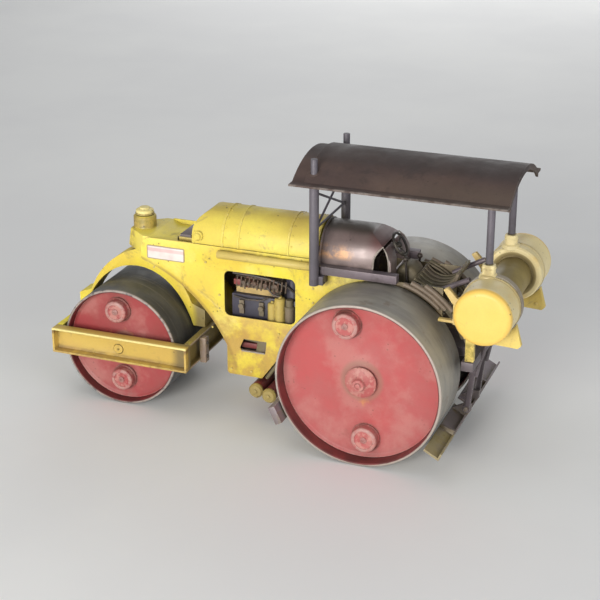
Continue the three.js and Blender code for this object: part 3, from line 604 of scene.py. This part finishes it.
def roll_red(name, roll, base, alt):
    """Faded red end disc with pink blooms, a rusty ring round the hub, and plugs outlined dark, partly as
    painted shadow, and rubbed pale.
    """
    def tints(g):
        far = g.radius(roll.x, roll.radius)
        bloom = g.both(g.patches(30, 5, 0.46, 0.64, 0.6), 0.55)
        g.paint(bloom, (188, 128, 120))
        halo = g.both(g.near(far, roll.hub + 1.8, 3.4, 0.2), 0.5)
        g.paint(halo, (146, 118, 98))
        ochre = g.both(g.near(far, roll.hub + 5, 4.0, 0.5), g.patches(55, 4, 0.56, 0.66), 0.7)
        g.paint(ochre, (204, 142, 80))
        proud = g.both(g.outward(roll.face + 1.0, roll.face + 2.0), g.patches(210, 5, 0.46, 0.58, 0.7), 0.6)
        g.paint(proud, (200, 150, 138))
        for plug in roll.plugs:
            stub, flange, away = plug.stub, plug.flange, g.radius(*plug_middle(roll, plug))
            top = g.both(g.mask(away, stub - 2.8, stub - 2.3), g.mask(away, stub + 0.1, stub - 0.3))
            pale = g.both(top, g.patches(260, 5, 0.34, 0.56, 0.7), 0.7)
            g.paint(pale, (182, 148, 140))
            # A dark ring from the foot of each stub out over its flange: partly a dark outline, partly
            # painted shadow.
            foot = g.both(g.mask(away, stub - 0.2, stub + 0.2), g.mask(away, flange + 1.0, flange - 0.1))
            outline = g.both(foot, g.patches(120, 4, 0.26, 0.50), 0.75)
            g.paint(outline, (116, 72, 66))
            middle = g.both(g.mask(away, 2.4, 1.6), 0.6)
            g.paint(middle, (140, 116, 110))
    return worn_paint(name, base, alt, (150, 88, 78), (206, 160, 148),
                      tints=tints, stain_level=0.6, speck=0.35, grime=0.8)


REAR_RED = roll_red("rear roll red", REAR, (184, 80, 80), (176, 90, 88))
FRONT_RED = roll_red("front roll red", FRONT, (166, 66, 68), (158, 74, 72))


def tread_metal(name, roll, dark, light, rusty):
    """Dark rolled tread with scuffs that run round it, pale worn rims, a dark red inside wall and painted
    shade in its corners.
    """
    g = Graph(name)
    run = g.around(roll.x, roll.radius, 9.0)
    tones = g.patches(1.0, 5, 0.36, 0.66, 0.6, where=g.stretched(run, (0.12, 0.05, 0.05)))
    g.colour = g.mix(tones, dark, light)
    lines = g.patches(1.0, 5, 0.50, 0.72, 0.7, where=g.stretched(run, (0.06, 0.55, 0.3)))
    g.paint(g.both(lines, 0.35), g.mix(0.5, light, (190, 186, 176)))
    rust = g.both(g.patches(62, 6, 0.60, 0.70, 0.7), rusty)
    g.paint(rust, (122, 96, 74))
    far, skin = g.radius(roll.x, roll.radius), roll.radius - 0.9
    inside = g.both(g.mask(far, skin - 0.2, skin - 0.7), 0.95)
    g.paint(inside, g.mix(g.patches(60, 4, 0.4, 0.6), (122, 50, 50), (96, 42, 42)))
    rim = g.both(g.outward(roll.outer_edge - 1.5, roll.outer_edge - 0.6), g.mask(far, skin - 0.9, skin - 0.2))
    worn_rim = g.both(rim, g.patches(240, 4, 0.30, 0.54), 0.8)
    g.paint(worn_rim, (174, 160, 150))
    scuffs = g.both(g.patches(95, 7, 0.66, 0.70, 0.75, 1.2), g.patches(14, 2, 0.50, 0.62))
    g.paint(g.both(scuffs, 0.6), (176, 172, 166))
    # Painted shade in corners, from the occlusion mask.
    g.paint(g.both(g.hollow(5), 0.5), (44, 36, 34))
    height = g.math("ADD", g.math("MULTIPLY", g.noise(700, 4, 0.65), 0.5), g.math("MULTIPLY", lines, 0.4))
    return g.shade(g.uneven(g.noise(70, 5, 0.6), 0.34, 0.62), 0.15, height, 0.35)


REAR_TREAD = tread_metal("rear tread", REAR, (144, 140, 132), (174, 168, 154), 0.4)
FRONT_TREAD = tread_metal("front tread", FRONT, (70, 71, 74), (94, 94, 94), 0.06)


def bare_metal(name, tone, rough, metallic=0.85):
    """Oily bare metal with rust blooms, rubbed edges and painted shade in its corners."""
    g = Graph(name)
    g.colour = g.mix(g.patches(130, 5, 0.4, 0.65, 0.65), tone, (84, 76, 68))
    g.paint(g.both(g.patches(220, 6, 0.58, 0.66, 0.7), 0.7), (112, 76, 48))
    g.paint(g.both(g.edges(0.4), 0.5), (190, 184, 176))
    # Painted shade in corners, from the occlusion mask.
    g.paint(g.both(g.hollow(5), 0.7), (34, 30, 28))
    return g.shade(rough, metallic, g.noise(500, 4), 0.3)


STEEL = bare_metal("bare steel", (150, 146, 140), 0.38)
DARK = bare_metal("oily iron", (70, 64, 60), 0.5, 0.5)


def steering_rim():
    """Dark plastic, rubbed pale along its edges."""
    g = Graph("wheel plastic")
    g.colour = g.mix(g.patches(160, 4, 0.42, 0.62), (48, 44, 40), (78, 72, 62))
    g.paint(g.both(g.edges(0.5), g.patches(300, 4, 0.4, 0.6)), (170, 164, 150))
    return g.shade(0.5, 0.0, g.noise(600, 3), 0.25)


WHEEL_BLACK = steering_rim()


def label_print():
    """A blank off-white plate with a faint pink band and smudges, and no lettering."""
    g = Graph("blank label")
    g.colour = g.mix(g.patches(90, 4, 0.40, 0.64), (236, 226, 218), (222, 208, 202))
    band = g.both(g.along("z", 108.6, 109.4), g.along("z", 111.8, 111.0), 0.5)
    g.paint(band, (214, 152, 150))
    long = g.near(g.axis("x"), (LABEL_X0 + LABEL_X1) / 2, 12.9, 13.2)
    tall = g.near(g.axis("z"), (LABEL_Z0 + LABEL_Z1) / 2, 4.0, 4.3)
    g.paint(g.both(g.math("MAXIMUM", long, tall), 0.8), (150, 128, 92))
    return g.shade(0.45, 0.0, g.noise(800, 3), 0.12)


LABEL = label_print()

# ---- CAD nodes that stay, with their finish

FINISH = [
    (YELLOW, ["steering_head", "trough_floor", "belly_pan"]),
    (PLATE_YELLOW, pair("side_plate")),
    (BOGIE_YELLOW, pair("front_frame_rail") + ["front_cross_member", "rear_cross_member", "front_axle",
                                               "saddle_arch"]),
    (PALE_YELLOW, ["kingpin"]),
    (RAIL_YELLOW, pair("side_rail")),
    (CRADLE_YELLOW, pair("tank_cradle")),
    (KHAKI, ["tank_core"]),
    (BONNET_YELLOW, ["bonnet"]),
    (HOOD_GREY, ["hood"]),
    (GREY, pair("hood_ledge") + ["radiator", "rear_beam"]),
    (POST_GREY, pair("front_post") + pair("rear_post") + ["front_brace"]),
    (BLADE_GREY, pair("rear_scraper") + pair("front_scraper")),
    (CANOPY, ["canopy_roof"]),
    (OLIVE, ["cab_floor", "seat"] + pair("roll_guard")),
    (INDIGO, ["engine_block"]),
    (TAN, ["cylinder_head"]),
    (MAROON, ["reservoir_front", "reservoir_rear"]),
    (STEEL, ["rear_axle"]),
    (DARK, ["axle_housing", "steering_column", "gear_lever", "brake_lever"] + pair("rear_roll_inner_disc")),
]


def finish_cad_nodes():
    """Gives each CAD node that shows its material and softened edges."""
    for material, names in FINISH:
        for name in names:
            node = NODES[name]
            node.data.materials.clear()
            node.data.materials.append(material)
            joined = node.modifiers.new("joined corners", "WELD")
            joined.merge_threshold = 0.005 * MM
            soften_edges(node, EDGE)
            smooth_by_angle(node)


# ---- rolls


def rolled_tread(node, roll, y0, y1, material, body):
    """A tread tube with rounded rims, slightly proud lips and a crisp inside wall."""
    bm = bmesh.new()
    lip, inner = 0.7, roll.radius - roll.wall
    outer_edge = [(roll.radius - lip + lip * math.sin(t), y1 - lip + lip * math.cos(t))
                  for t in [math.radians(a) for a in (0, 22, 45, 68, 90)]]
    near_edge = [(r, y0 + y1 - y) for r, y in reversed(outer_edge)]
    profile = [(inner, y0 + 0.5), (inner, y1 - 0.5), (inner + 0.5, y1)] + outer_edge
    profile += near_edge + [(inner + 0.5, y0), (inner, y0 + 0.5)]
    lathe(bm, profile, at(roll.x, 0, roll.radius), Y, 160)
    piece(f"{node}_skin", bm, material, body, replaces=(node,))


def end_disc(name, roll, side, material, body, node):
    """A pressed end disc with a weld fillet at the rim, a raised hub pad and flanged ballast plugs."""
    bm = bmesh.new()
    bore, pad, face, rim = roll.bore, roll.pad, roll.face, roll.radius - roll.wall - 0.15
    profile = [
        (bore, face - 1.6), (rim, face - 1.6), (rim, face + 1.3), (rim - 0.5, face + 1.1),
        (rim - 1.4, face + 0.25), (rim - 2.4, face), (pad + 3.2, face), (pad + 2.0, face + 0.35),
        (pad, face + 0.9), (bore, face + 0.9), (bore, face - 1.6),
    ]
    lathe(bm, sided(profile, side), at(roll.x, 0, roll.radius), Y, 128)
    for plug in roll.plugs:
        x, z = plug_middle(roll, plug)
        flange, stub, top = plug.flange, plug.stub, face + plug.height
        steps = [
            (0, face - 0.6), (flange, face - 0.6), (flange, face + 1.2), (flange - 0.5, face + 1.6),
            (stub + 0.2, face + 1.8), (stub, face + 2.3), (stub, top - 1.3), (stub - 0.4, top - 0.6),
            (stub - 1.1, top - 0.2), (stub - 2.3, top - 0.2), (stub - 2.7, top - 0.8), (2.9, top - 0.9),
            (0, top - 0.9),
        ]
        lathe(bm, sided(steps, side), at(x, 0, z), Y, 56)
        nut = [(0, top - 1), (2.1, top - 1), (2.1, top - 0.3), (1.6, top), (0.9, top), (0.7, top - 0.4),
               (0, top - 0.4)]
        lathe(bm, sided(nut, side), at(x, 0, z), Y, 18)
    piece(name, bm, material, body, angle=32, replaces=(node,))


def hub_cap(name, side, body, node):
    """A flanged cap that rises in a shallow cone to the boss over the axle end."""
    bm = bmesh.new()
    steps = [(0, 57.9), (9.9, 57.9), (10.4, 58.2), (10.4, 59.0), (10.0, 59.4), (8.6, 59.8), (6.2, 60.9),
             (4.9, 61.7), (4.3, 62.2), (4.1, 62.8), (4.0, 64.0), (3.6, 64.6), (2.4, 64.8), (1.9, 64.3),
             (1.6, 64.3), (1.5, 64.7), (0.9, 64.9), (0, 64.9)]
    lathe(bm, sided(steps, side), at(0, 0, REAR.radius), Y, 72)
    piece(name, bm, REAR_RED, body, replaces=(node,))


def build_rolls():
    """Treads, end discs and hubs in place of the plainer CAD ones."""
    rolled_tread("front_roll_tread", FRONT, -FRONT.outer_edge, FRONT.outer_edge, FRONT_TREAD, "front_roll")
    for name, side in SIDES:
        y0, y1 = sorted((side * REAR_INNER_EDGE, side * REAR.outer_edge))
        body = f"rear_roll_{name}"
        rolled_tread(f"rear_roll_tread_{name}", REAR, y0, y1, REAR_TREAD, body)
        end_disc(f"rear_end_disc_{name}", REAR, side, REAR_RED, body, f"rear_roll_disc_{name}")
        hub_cap(f"rear_hub_{name}", side, body, f"rear_hub_cap_{name}")
        end_disc(f"front_end_disc_{name}", FRONT, side, FRONT_RED, "front_roll", f"front_roll_disc_{name}")


# ---- bogie details


def build_bogie_details():
    """Axle ends, bolts and the washer under the kingpin's cap."""
    bm = bmesh.new()
    for side in BOTH:
        end = [(0, 40.3), (3.3, 40.3), (3.3, 40.7), (2.9, 41.0), (1.2, 41.0), (0.9, 40.7), (0, 40.7)]
        lathe(bm, sided(end, side), at(FRONT.x, 0, FRONT.radius), Y, 28)
        for x in (-221, -134.6):
            bolt(bm, at(x, side * 5.4, 65), Z, 1.0)
    piece("axle_ends", bm, BOGIE_YELLOW, "front_bogie")

    bm = bmesh.new()
    for side in BOTH:
        for z in (37, 47):
            bolt(bm, at(-123.0, side * 19.8, z), X, 1.0)
    piece("lug_bolts", bm, DARK, "front_bogie")

    bm = bmesh.new()
    washer = [(5.9, 126.9), (6.5, 127.1), (6.5, 127.7), (6.25, 128.0), (6.25, 126.9), (5.9, 126.9)]
    lathe(bm, washer, at(KINGPIN_X, 0, 0), Z, 40)
    piece("kingpin_washer", bm, KHAKI, "front_bogie")


# ---- chassis details


def bonnet_band(bm, x0, x1):
    """A pressed band that follows the bonnet's half-round section."""
    foot, lift = 118.4, 0.45
    section = [(-BONNET_R, foot)] + arc(0, BONNET_Z, BONNET_R, 180, 0, 40) + [(BONNET_R, foot)]
    grow = (BONNET_R + lift) / BONNET_R
    outer = [(y * grow, z if z < BONNET_Z else BONNET_Z + (z - BONNET_Z) * grow) for y, z in section]
    runs = ((x0, section), (x0 + 0.3, outer), (x1 - 0.3, outer), (x1, section))
    rings = [[bm.verts.new(at(x, y, z)) for y, z in run] for x, run in runs]
    for one, other in zip(rings, rings[1:]):
        for i in range(len(one) - 1):
            bm.faces.new((one[i], one[i + 1], other[i + 1], other[i]))
    for i in range(len(section) - 1):
        bm.faces.new((rings[3][i], rings[3][i + 1], rings[0][i + 1], rings[0][i]))
    for end in (0, -1):
        bm.faces.new([r[end] for r in rings])


def build_bonnet_details():
    """Bands, rivets and catches of the bonnet, and the surround of the radiator in front of it."""
    bm = bmesh.new()
    for x0, x1 in ((-111.2, -109.4), (-99.6, -98), (-64.6, -63), (-46.4, -43.6)):
        bonnet_band(bm, x0, x1)
    piece("bonnet_bands", bm, BONNET_YELLOW)

    bm = bmesh.new()
    for x in (-108.2, -61.4, -48.2):
        for i in range(9):
            turn = math.radians(12 + 19.5 * i)
            out = Vector((0, math.cos(turn), math.sin(turn)))
            place = at(x, BONNET_R * math.cos(turn), BONNET_Z + BONNET_R * math.sin(turn))
            lathe(bm, [(0.75, -0.2), (0.75, 0.1), (0.45, 0.4), (0, 0.5)], place, out, 10)
    piece("bonnet_rivets", bm, BONNET_YELLOW)

    bm = bmesh.new()
    catch = [(0, 19.8), (3.4, 19.8), (3.4, 21.0), (2.9, 21.5), (2.4, 21.6), (2.4, 22.4), (1.9, 22.9),
             (0, 22.9)]
    for side in BOTH:
        lathe(bm, sided(catch, side), at(-127.4, 0, 123.6), Y, 28)
    piece("bonnet_catches", bm, BONNET_YELLOW)

    bm = bmesh.new()
    block(bm, -146.4, -145.05, -12.2, 12.2, 115.3, 118.0)
    for side in BOTH:
        block(bm, -146.4, -134, *sorted((side * 11.05, side * 12.2)), 115.3, 118.0)
    piece("radiator_surround", bm, PALE_YELLOW, bevel=0.2)


def build_hood_details():
    """Rolled lips round the pointed side openings, and the bead where the hood meets the bonnet."""
    bm = bmesh.new()
    lip = [(-6.2, 114.4), (-5.4, 123.6), (-3.6, 127.6), (-0.4, 131.0), (2.6, 127.6), (4.3, 123.6),
           (5.2, 114.4)]
    for side in BOTH:
        path = []
        for x, z in lip:
            rise = max(0.0, z - HOOD_Z)
            out = math.sqrt(max(0.0, HOOD_R ** 2 - rise ** 2))
            path.append(at(x, side * (out + 0.1), z))
        tube(bm, path, 0.55, 8)
    piece("hood_opening_lips", bm, LIP_PALE)

    bm = bmesh.new()
    bead_r, foot = HOOD_R + 0.1, 116.5
    section = [(-bead_r, foot)] + arc(0, HOOD_Z, bead_r, 180, 0, 40) + [(bead_r, foot)]
    tube(bm, [at(-41.6, y, z) for y, z in section], 0.7, 8)
    piece("hood_bead", bm, HOOD_GREY)


def build_side_details():
    """The blank label, the bolts of the side plates and the clips of their rails."""
    bm = bmesh.new()
    outline = rounded(LABEL_X0, LABEL_X1, LABEL_Z0, LABEL_Z1, 1.0)
    plate(bm, outline, -PLATE_Y - 0.5, -PLATE_Y + 0.1)
    piece("blank_label", bm, LABEL, bevel=0.15)

    bm = bmesh.new()
    for side in BOTH:
        for x, z in ((-160, 97.5), (-118, 60), (-104.5, 31.5), (-90, 31.5), (-112.5, 84), (-55, 62),
                     (-46, 98), (-46, 88), (-122, 106), (-70, 62)):
            bolt(bm, at(x, side * PLATE_Y, z), Y * side, 0.8, False)
    piece("side_plate_bolts", bm, RAIL_YELLOW)

    bm = bmesh.new()
    for side in BOTH:
        for x in (-110.6, -47.6):
            block(bm, x - 1.2, x + 1.2, *sorted((side * 20.9, side * 22.6)), 112.2, 115.8)
    piece("side_rail_clips", bm, RAIL_YELLOW, bevel=0.2)


def build_pocket():
    """The bar, liner and lip in the pocket of the left side plate; the pale lip along its bottom edge is a
    painted highlight.
    """
    bm = bmesh.new()
    block(bm, -100.4, -84, -17.8, -15.2, 46.8, 50.6)
    piece("pocket_bar", bm, MAROON, bevel=0.6)

    bm = bmesh.new()
    liner = [(-87.4, 45.4), (-78.6, 45.4), (-78.6, 55), (-97, 55), (-95.6, 53.2), (-86.4, 52.4)]
    plate(bm, liner, -19.4, -18.4)
    piece("pocket_liner", bm, OLIVE, bevel=0.3)

    bm = bmesh.new()
    # A pale strip standing in for the highlight along the pocket's bottom edge.
    block(bm, -97.2, -80.2, -21.2, -18.6, 45.3, 46.2)
    piece("pocket_lip_highlight", bm, STRAP_LILAC, bevel=0.25)


def build_belly_details():
    """A brace beside the belly and the caps of the reservoirs."""
    bm = bmesh.new()
    tube(bm, [at(-80.6, -17.2, 26.6), at(-70, -17.2, 42.6)], 1.5, 12)
    piece("belly_brace", bm, OLIVE)

    bm = bmesh.new()
    cap = [(0, 25.2), (4.85, 25.2), (5.1, 25.4), (5.1, 26.8), (3.9, 28.3), (1.6, 28.5), (1.5, 29.2),
           (0.9, 29.5), (0, 29.5)]
    for x, z in ((-84.6, 20.6), (-75.2, 18.2)):
        for side in BOTH:
            lathe(bm, sided(cap, side), at(x, 0, z), Y, 32)
    piece("reservoir_caps", bm, KHAKI)


def build_engine_vessels():
    """Two canisters and a filter bowl, seen through the window."""
    bm = bmesh.new()
    for x, radius, top in ((-76.6, 3.4, 81.4), (-71.4, 3.8, 85.4)):
        steps = [(0, 66), (radius, 66), (radius, top - 1), (radius - 0.8, top), (radius * 0.4, top + 0.2),
                 (radius * 0.35, top + 1.4), (0, top + 1.4)]
        lathe(bm, steps, at(x, -15.2, 0), Z, 28)
    piece("engine_canister", bm, CANISTER)

    bm = bmesh.new()
    bowl = [(0, 68), (2.4, 68.4), (3.3, 70), (3.3, 79), (3.6, 79.2), (3.6, 80.6), (2.6, 81), (2.6, 85.4),
            (0, 86)]
    lathe(bm, bowl, at(-64.4, -15.6, 0), Z, 28)
    piece("engine_filter", bm, OLIVE)


def build_engine_details():
    """Bosses, pipes, magneto and pushrods on the engine."""
    bm = bmesh.new()
    for x in (-98.6, -84.4):
        lathe(bm, [(0, -18.2), (1.7, -18.2), (1.9, -17.8), (1.9, -14.6), (0, -14.6)], at(x, 0, 76.5), Y, 16)
        block(bm, x - 1.6, x + 1.6, -16.6, -14.8, 71, 80.5)
    for i in range(6):
        bolt(bm, at(-101.5 + 3.6 * i, -12.4, 97.2), Z, 0.9)
    piece("engine_bosses", bm, OLIVE)

    bm = bmesh.new()
    tube(bm, [at(-104, -16.6, 99.4), at(-90, -16.8, 99.2), at(-78, -16.6, 98), at(-66, -15.6, 94),
              at(-62, -13, 90)], 0.9, 8)
    tube(bm, [at(-80, -16.6, 92), at(-76, -17, 88), at(-71.4, -16, 86.4)], 0.7, 8)
    tube(bm, [at(-104, -16.4, 83), at(-94, -18, 82.2), at(-84, -17.6, 82.6), at(-80, -15, 84)], 0.7, 8)
    piece("engine_pipes", bm, DARK)

    bm = bmesh.new()
    block(bm, -103.6, -98.6, -17.6, -12, 91.6, 95.6)
    piece("engine_magneto", bm, MAROON, bevel=0.5)

    bm = bmesh.new()
    for i in range(13):
        x = -101.6 + 2.9 * i
        top = 97.4 + 1.1 * math.sin(2.3 * i)
        tube(bm, [at(x, -17.2, 90.2 + 0.8 * math.cos(1.7 * i)), at(x + 0.7, -17.0, top)], 0.55, 8)
    for x in (-96.4, -88.6, -80.8, -73.6):
        lathe(bm, [(0, -18.2), (1.3, -18.2), (1.5, -17.8), (1.5, -16.2), (0, -16.2)], at(x, 0, 94), Y, 14)
    piece("engine_pushrods", bm, RUSTY)


# ---- tanks, canopy and station


def drum(name, side, node):
    """A rolled drum: domed end, seam bead, dished inner end and a filler collar with a rolled top."""
    bm = bmesh.new()
    shoulder = [(DRUM_R * (0.80 + 0.20 * math.cos(t)), 53.0 + 3.4 * math.sin(t))
                for t in [math.radians(a) for a in range(0, 91, 15)]]
    steps = [(0, 25.4), (12.2, 25.4), (13.4, 24.6), (15.6, 24.1), (17.4, 24.5), (DRUM_R, 25.8),
             (DRUM_R, 32.6), (DRUM_R + 0.45, 33.0), (DRUM_R + 0.5, 33.6), (DRUM_R, 34.0), (DRUM_R, 51.2),
             (DRUM_R + 0.12, 51.6), (DRUM_R, 52.0)] + shoulder + [(DRUM_R * 0.4, 56.8), (0, 56.9)]
    lathe(bm, sided(steps, side), at(DRUM_X, 0, DRUM_Z), Y, 112)
    collar = [(2.6, 7.2), (2.6, -1.4), (4.2, -1.4), (4.2, 4.2), (4.5, 4.5), (4.5, 5.2), (4.2, 5.5),
              (4.2, 6.6), (3.7, 7.2), (2.6, 7.2)]
    foot = [(6.2, -1.6), (5.6, 0.4), (4.2, 1.2), (4.2, -1.6), (6.2, -1.6)]
    for profile in (collar, foot):
        lathe(bm, profile, at(COLLAR_X, side * COLLAR_Y, DRUM_Z + DRUM_R), Z, 36)
    piece(name, bm, DRUM_YELLOW, angle=32, replaces=(node,))


def build_tank_details():
    """Drums and strap, and the bolts of the cradle arms."""
    for name, side in SIDES:
        drum(f"tank_shell_{name}", side, f"tank_drum_{name}")
    bm = bmesh.new()
    inner, outer = DRUM_R + 0.1, DRUM_R + 0.7
    strap = [(inner, -31.2), (outer, -31.0), (outer, -26.4), (inner, -26.2), (inner, -31.2)]
    lathe(bm, strap, at(DRUM_X, 0, DRUM_Z), Y, 96)
    piece("tank_strap", bm, STRAP_LILAC)

    bm = bmesh.new()
    for side in BOTH:
        bolt(bm, at(63.6, side * 35, 88), Y * side, 1.0)
        for x, z in ((63.6, 88), (89.6, 87)):
            bolt(bm, at(x, side * 31.6, z), Y * -side, 1.0)
    piece("cradle_bolts", bm, CRADLE_YELLOW)


def build_stays():
    """Struts from the tanks down to the scrapers, and stays to the cab."""
    bm = bmesh.new()
    for side in BOTH:
        run = ((73, 13, 92), (69.5, 13.2, 76), (64.6, 13.2, 60), (62.6, 13.2, 50))
        tube(bm, [at(x, side * y, z) for x, y, z in run], 1.5, 10)
    piece("scraper_struts", bm, GREY)

    bm = bmesh.new()
    for side in BOTH:
        run = ((37, 17, 106.7), (48, 18, 113), (57.6, 19, 118))
        tube(bm, [at(x, side * y, z) for x, y, z in run], 1.7, 12)
    piece("cab_stays", bm, GREY)


def build_canopy_details():
    """Rolled edges of the roof, the bows under it, and the rings and bolts of its posts."""
    bm = bmesh.new()
    for side in BOTH:
        tube(bm, [at(-54, side * 43.9, 174.5), at(84.5, side * 43.9, 174.5)], 0.75, 8)
    piece("roof_side_beads", bm, CANOPY)

    bm = bmesh.new()
    radius = (ROOF_HALF ** 2 + ROOF_RISE ** 2) / (2 * ROOF_RISE)
    reach = math.degrees(math.asin(ROOF_HALF / radius))
    under = arc(0, ROOF_CROWN - radius, radius - 1.9, 90 - reach, 90 + reach, 24)
    for x in (-41.9, 20, COLLAR_X):
        tube(bm, [at(x, y, z) for y, z in under], 0.9, 8)
    piece("roof_bows", bm, POST_GREY)

    bm = bmesh.new()
    grommet = [(2.3, 0), (3.3, 0), (3.2, 0.4), (2.7, 0.8), (2.3, 0.9), (2.3, 0)]
    for side in BOTH:
        lean = Vector((0, side * 0.55, 1)).normalized()
        lathe(bm, grommet, at(-42, side * 30.5, 179.4), lean, 28)
    piece("post_grommets", bm, CANOPY)

    bm = bmesh.new()
    for side in BOTH:
        for x, z in ((-38, 108), (-36, 106)):
            bolt(bm, at(x, side * 27.7, z), Y * side, 0.8, False)
    piece("post_foot_bolts", bm, DARK)


def build_roll_ribs():
    """Curved ribs beside the rear rolls."""
    bm = bmesh.new()
    for side in BOTH:
        for y, radius in ((14.6, 60.4), (17.2, 61.0), (20.0, 60.4)):
            run = arc(REAR.x, REAR.radius, radius, 70, 17, 18)
            tube(bm, [at(x, side * y, z) for x, z in run], 0.8, 8)
    piece("guard_ribs", bm, OLIVE)

    bm = bmesh.new()
    for side in BOTH:
        for y, radius, start, end in ((22.9, 57.5, 74, 47), (22.8, 60.6, 70, 44), (22.6, 63.6, 62, 41)):
            run = arc(REAR.x, REAR.radius, radius, start, end, 14)
            tube(bm, [at(x, side * y, z) for x, z in run], 1.65, 12)
    piece("fender_ribs", bm, FENDER)


def build_station_details():
    """The gearbox hump, the ribs of the seat and the pedals."""
    bm = bmesh.new()
    hump = [(7, 93.6), (20.4, 93.6), (20.4, 99)] + arc(12.6, 109.4, 7.6, 8, 168, 12) + [(5.8, 100)]
    plate(bm, hump, -8.6, 8.6)
    piece("gearbox_hump", bm, OLIVE, bevel=2.2, angle=60)

    bm = bmesh.new()
    run = arc(33, 121, 14.7, 218, 348, 16)
    for y in (-11, -5.5, 0, 5.5, 11):
        tube(bm, [at(x, y, z) for x, z in run], 0.7, 8)
    piece("seat_ribs", bm, OLIVE)

    bm = bmesh.new()
    for y in (-5, 5):
        tube(bm, [at(-4, y, 93.6), at(-2.6, y, 98), at(-0.4, y, 100.4)], 0.7, 8)
        plate(bm, [(-1.4, 99.6), (1.6, 102.2), (1.0, 102.9), (-2.0, 100.3)], y - 2, y + 2)
    piece("pedals", bm, DARK)


def build_steering_wheel():
    """A thin round rim, three dished spokes, a domed hub and a spinner knob."""
    centre = at(5.8, 0, 128.4)
    tilt = math.radians(WHEEL_TILT)
    axis = Vector((math.sin(tilt), 0, math.cos(tilt)))
    u, v = across(axis)
    bm = bmesh.new()
    rim = arc(WHEEL_R, 0, WHEEL_BAR, 0, 330, 11)
    lathe(bm, rim + [rim[0]], centre, axis, 64)
    for k in range(3):
        turn = math.radians(90 + 120 * k)
        out = u * math.cos(turn) + v * math.sin(turn)
        spoke = ((0.8, 1.0), (3.0, 0.8), (5.4, 0.2), (7.6, 0))
        tube(bm, [centre + out * (r * MM) - axis * (dip * MM) for r, dip in spoke], 0.6, 8)
    lathe(bm, [(0, -1.7), (2.0, -1.7), (2.2, -0.6), (1.9, 0.3), (1.0, 0.8), (0, 0.9)], centre, axis, 28)
    knob_at = centre + (u * math.cos(0.6) + v * math.sin(0.6)) * WHEEL_R * MM
    lathe(bm, [(0, 0), (0.7, 0), (0.7, 1.0), (1.3, 1.6), (1.4, 2.3), (0.9, 2.9), (0, 3.0)], knob_at, axis, 20)
    piece("steering_wheel_rim", bm, WHEEL_BLACK, "steering_wheel_body", replaces=("steering_wheel",))


# ---- stage


def stage():
    """A plain pale floor."""
    g = Graph("pale floor")
    g.colour = g.mix(g.patches(3, 4, 0.35, 0.65), (244, 244, 242), (238, 238, 237))
    material = g.shade(0.75, 0.0, g.noise(400, 3), 0.03)
    mesh = bpy.data.meshes.new("floor")
    reach = 6.0
    corners = [(-reach, -reach, 0), (reach, -reach, 0), (reach, reach, 0), (-reach, reach, 0)]
    mesh.from_pydata(corners, [], [(0, 1, 2, 3)])
    mesh.materials.append(material)
    floor = bpy.data.objects.new("floor", mesh)
    bpy.context.scene.collection.objects.link(floor)


def lamp(name, place, energy, size, tone=(1, 1, 1)):
    """A square area lamp in the frame's metres, aimed at the middle of the object."""
    light = bpy.data.lights.new(name, "AREA")
    light.energy = energy
    light.size = size
    light.color = tone
    obj = bpy.data.objects.new(name, light)
    obj.location = place
    aim = Vector((0, 0, 0.08)) - Vector(place)
    obj.rotation_euler = aim.to_track_quat("-Z", "Y").to_euler()
    bpy.context.scene.collection.objects.link(obj)


def light_the_stage():
    """A pale world, a key lamp on the camera's side and three weaker ones."""
    world = bpy.data.worlds.new("soft studio")
    world.use_nodes = True
    background = world.node_tree.nodes["Background"]
    background.inputs["Color"].default_value = (0.92, 0.94, 0.97, 1)
    background.inputs["Strength"].default_value = 0.34
    bpy.context.scene.world = world
    bpy.context.scene.view_settings.view_transform = "Standard"
    lamp("key", (-0.15, -1.6, 0.42), 22, 0.7, (1.0, 0.98, 0.95))
    lamp("fill", (1.4, -0.7, 0.6), 6, 1.0, (0.96, 0.97, 1.0))
    lamp("top", (-0.4, -0.2, 1.8), 2.5, 1.0)
    lamp("back", (-0.3, 1.6, 0.6), 5.5, 1.2)


def place_camera():
    """The camera, on the left side, some way round towards the rear and a little above."""
    turn, rise = math.radians(CAMERA_TURN), math.radians(CAMERA_RISE)
    back = Vector((math.sin(turn) * math.cos(rise), -math.cos(turn) * math.cos(rise), math.sin(rise)))
    camera = bpy.data.cameras.new("camera")
    camera.sensor_width = CAMERA_SENSOR
    camera.lens = CAMERA_LENS
    obj = bpy.data.objects.new("camera", camera)
    obj.location = at(*CAMERA_AIM) + back * CAMERA_DISTANCE
    obj.rotation_euler = (-back).to_track_quat("-Z", "Y").to_euler()
    bpy.context.scene.collection.objects.link(obj)
    bpy.context.scene.camera = obj


finish_cad_nodes()
build_rolls()
build_bogie_details()
build_bonnet_details()
build_hood_details()
build_side_details()
build_pocket()
build_belly_details()
build_engine_vessels()
build_engine_details()
build_tank_details()
build_stays()
build_canopy_details()
build_roll_ribs()
build_station_details()
build_steering_wheel()
stage()
light_the_stage()
place_camera()
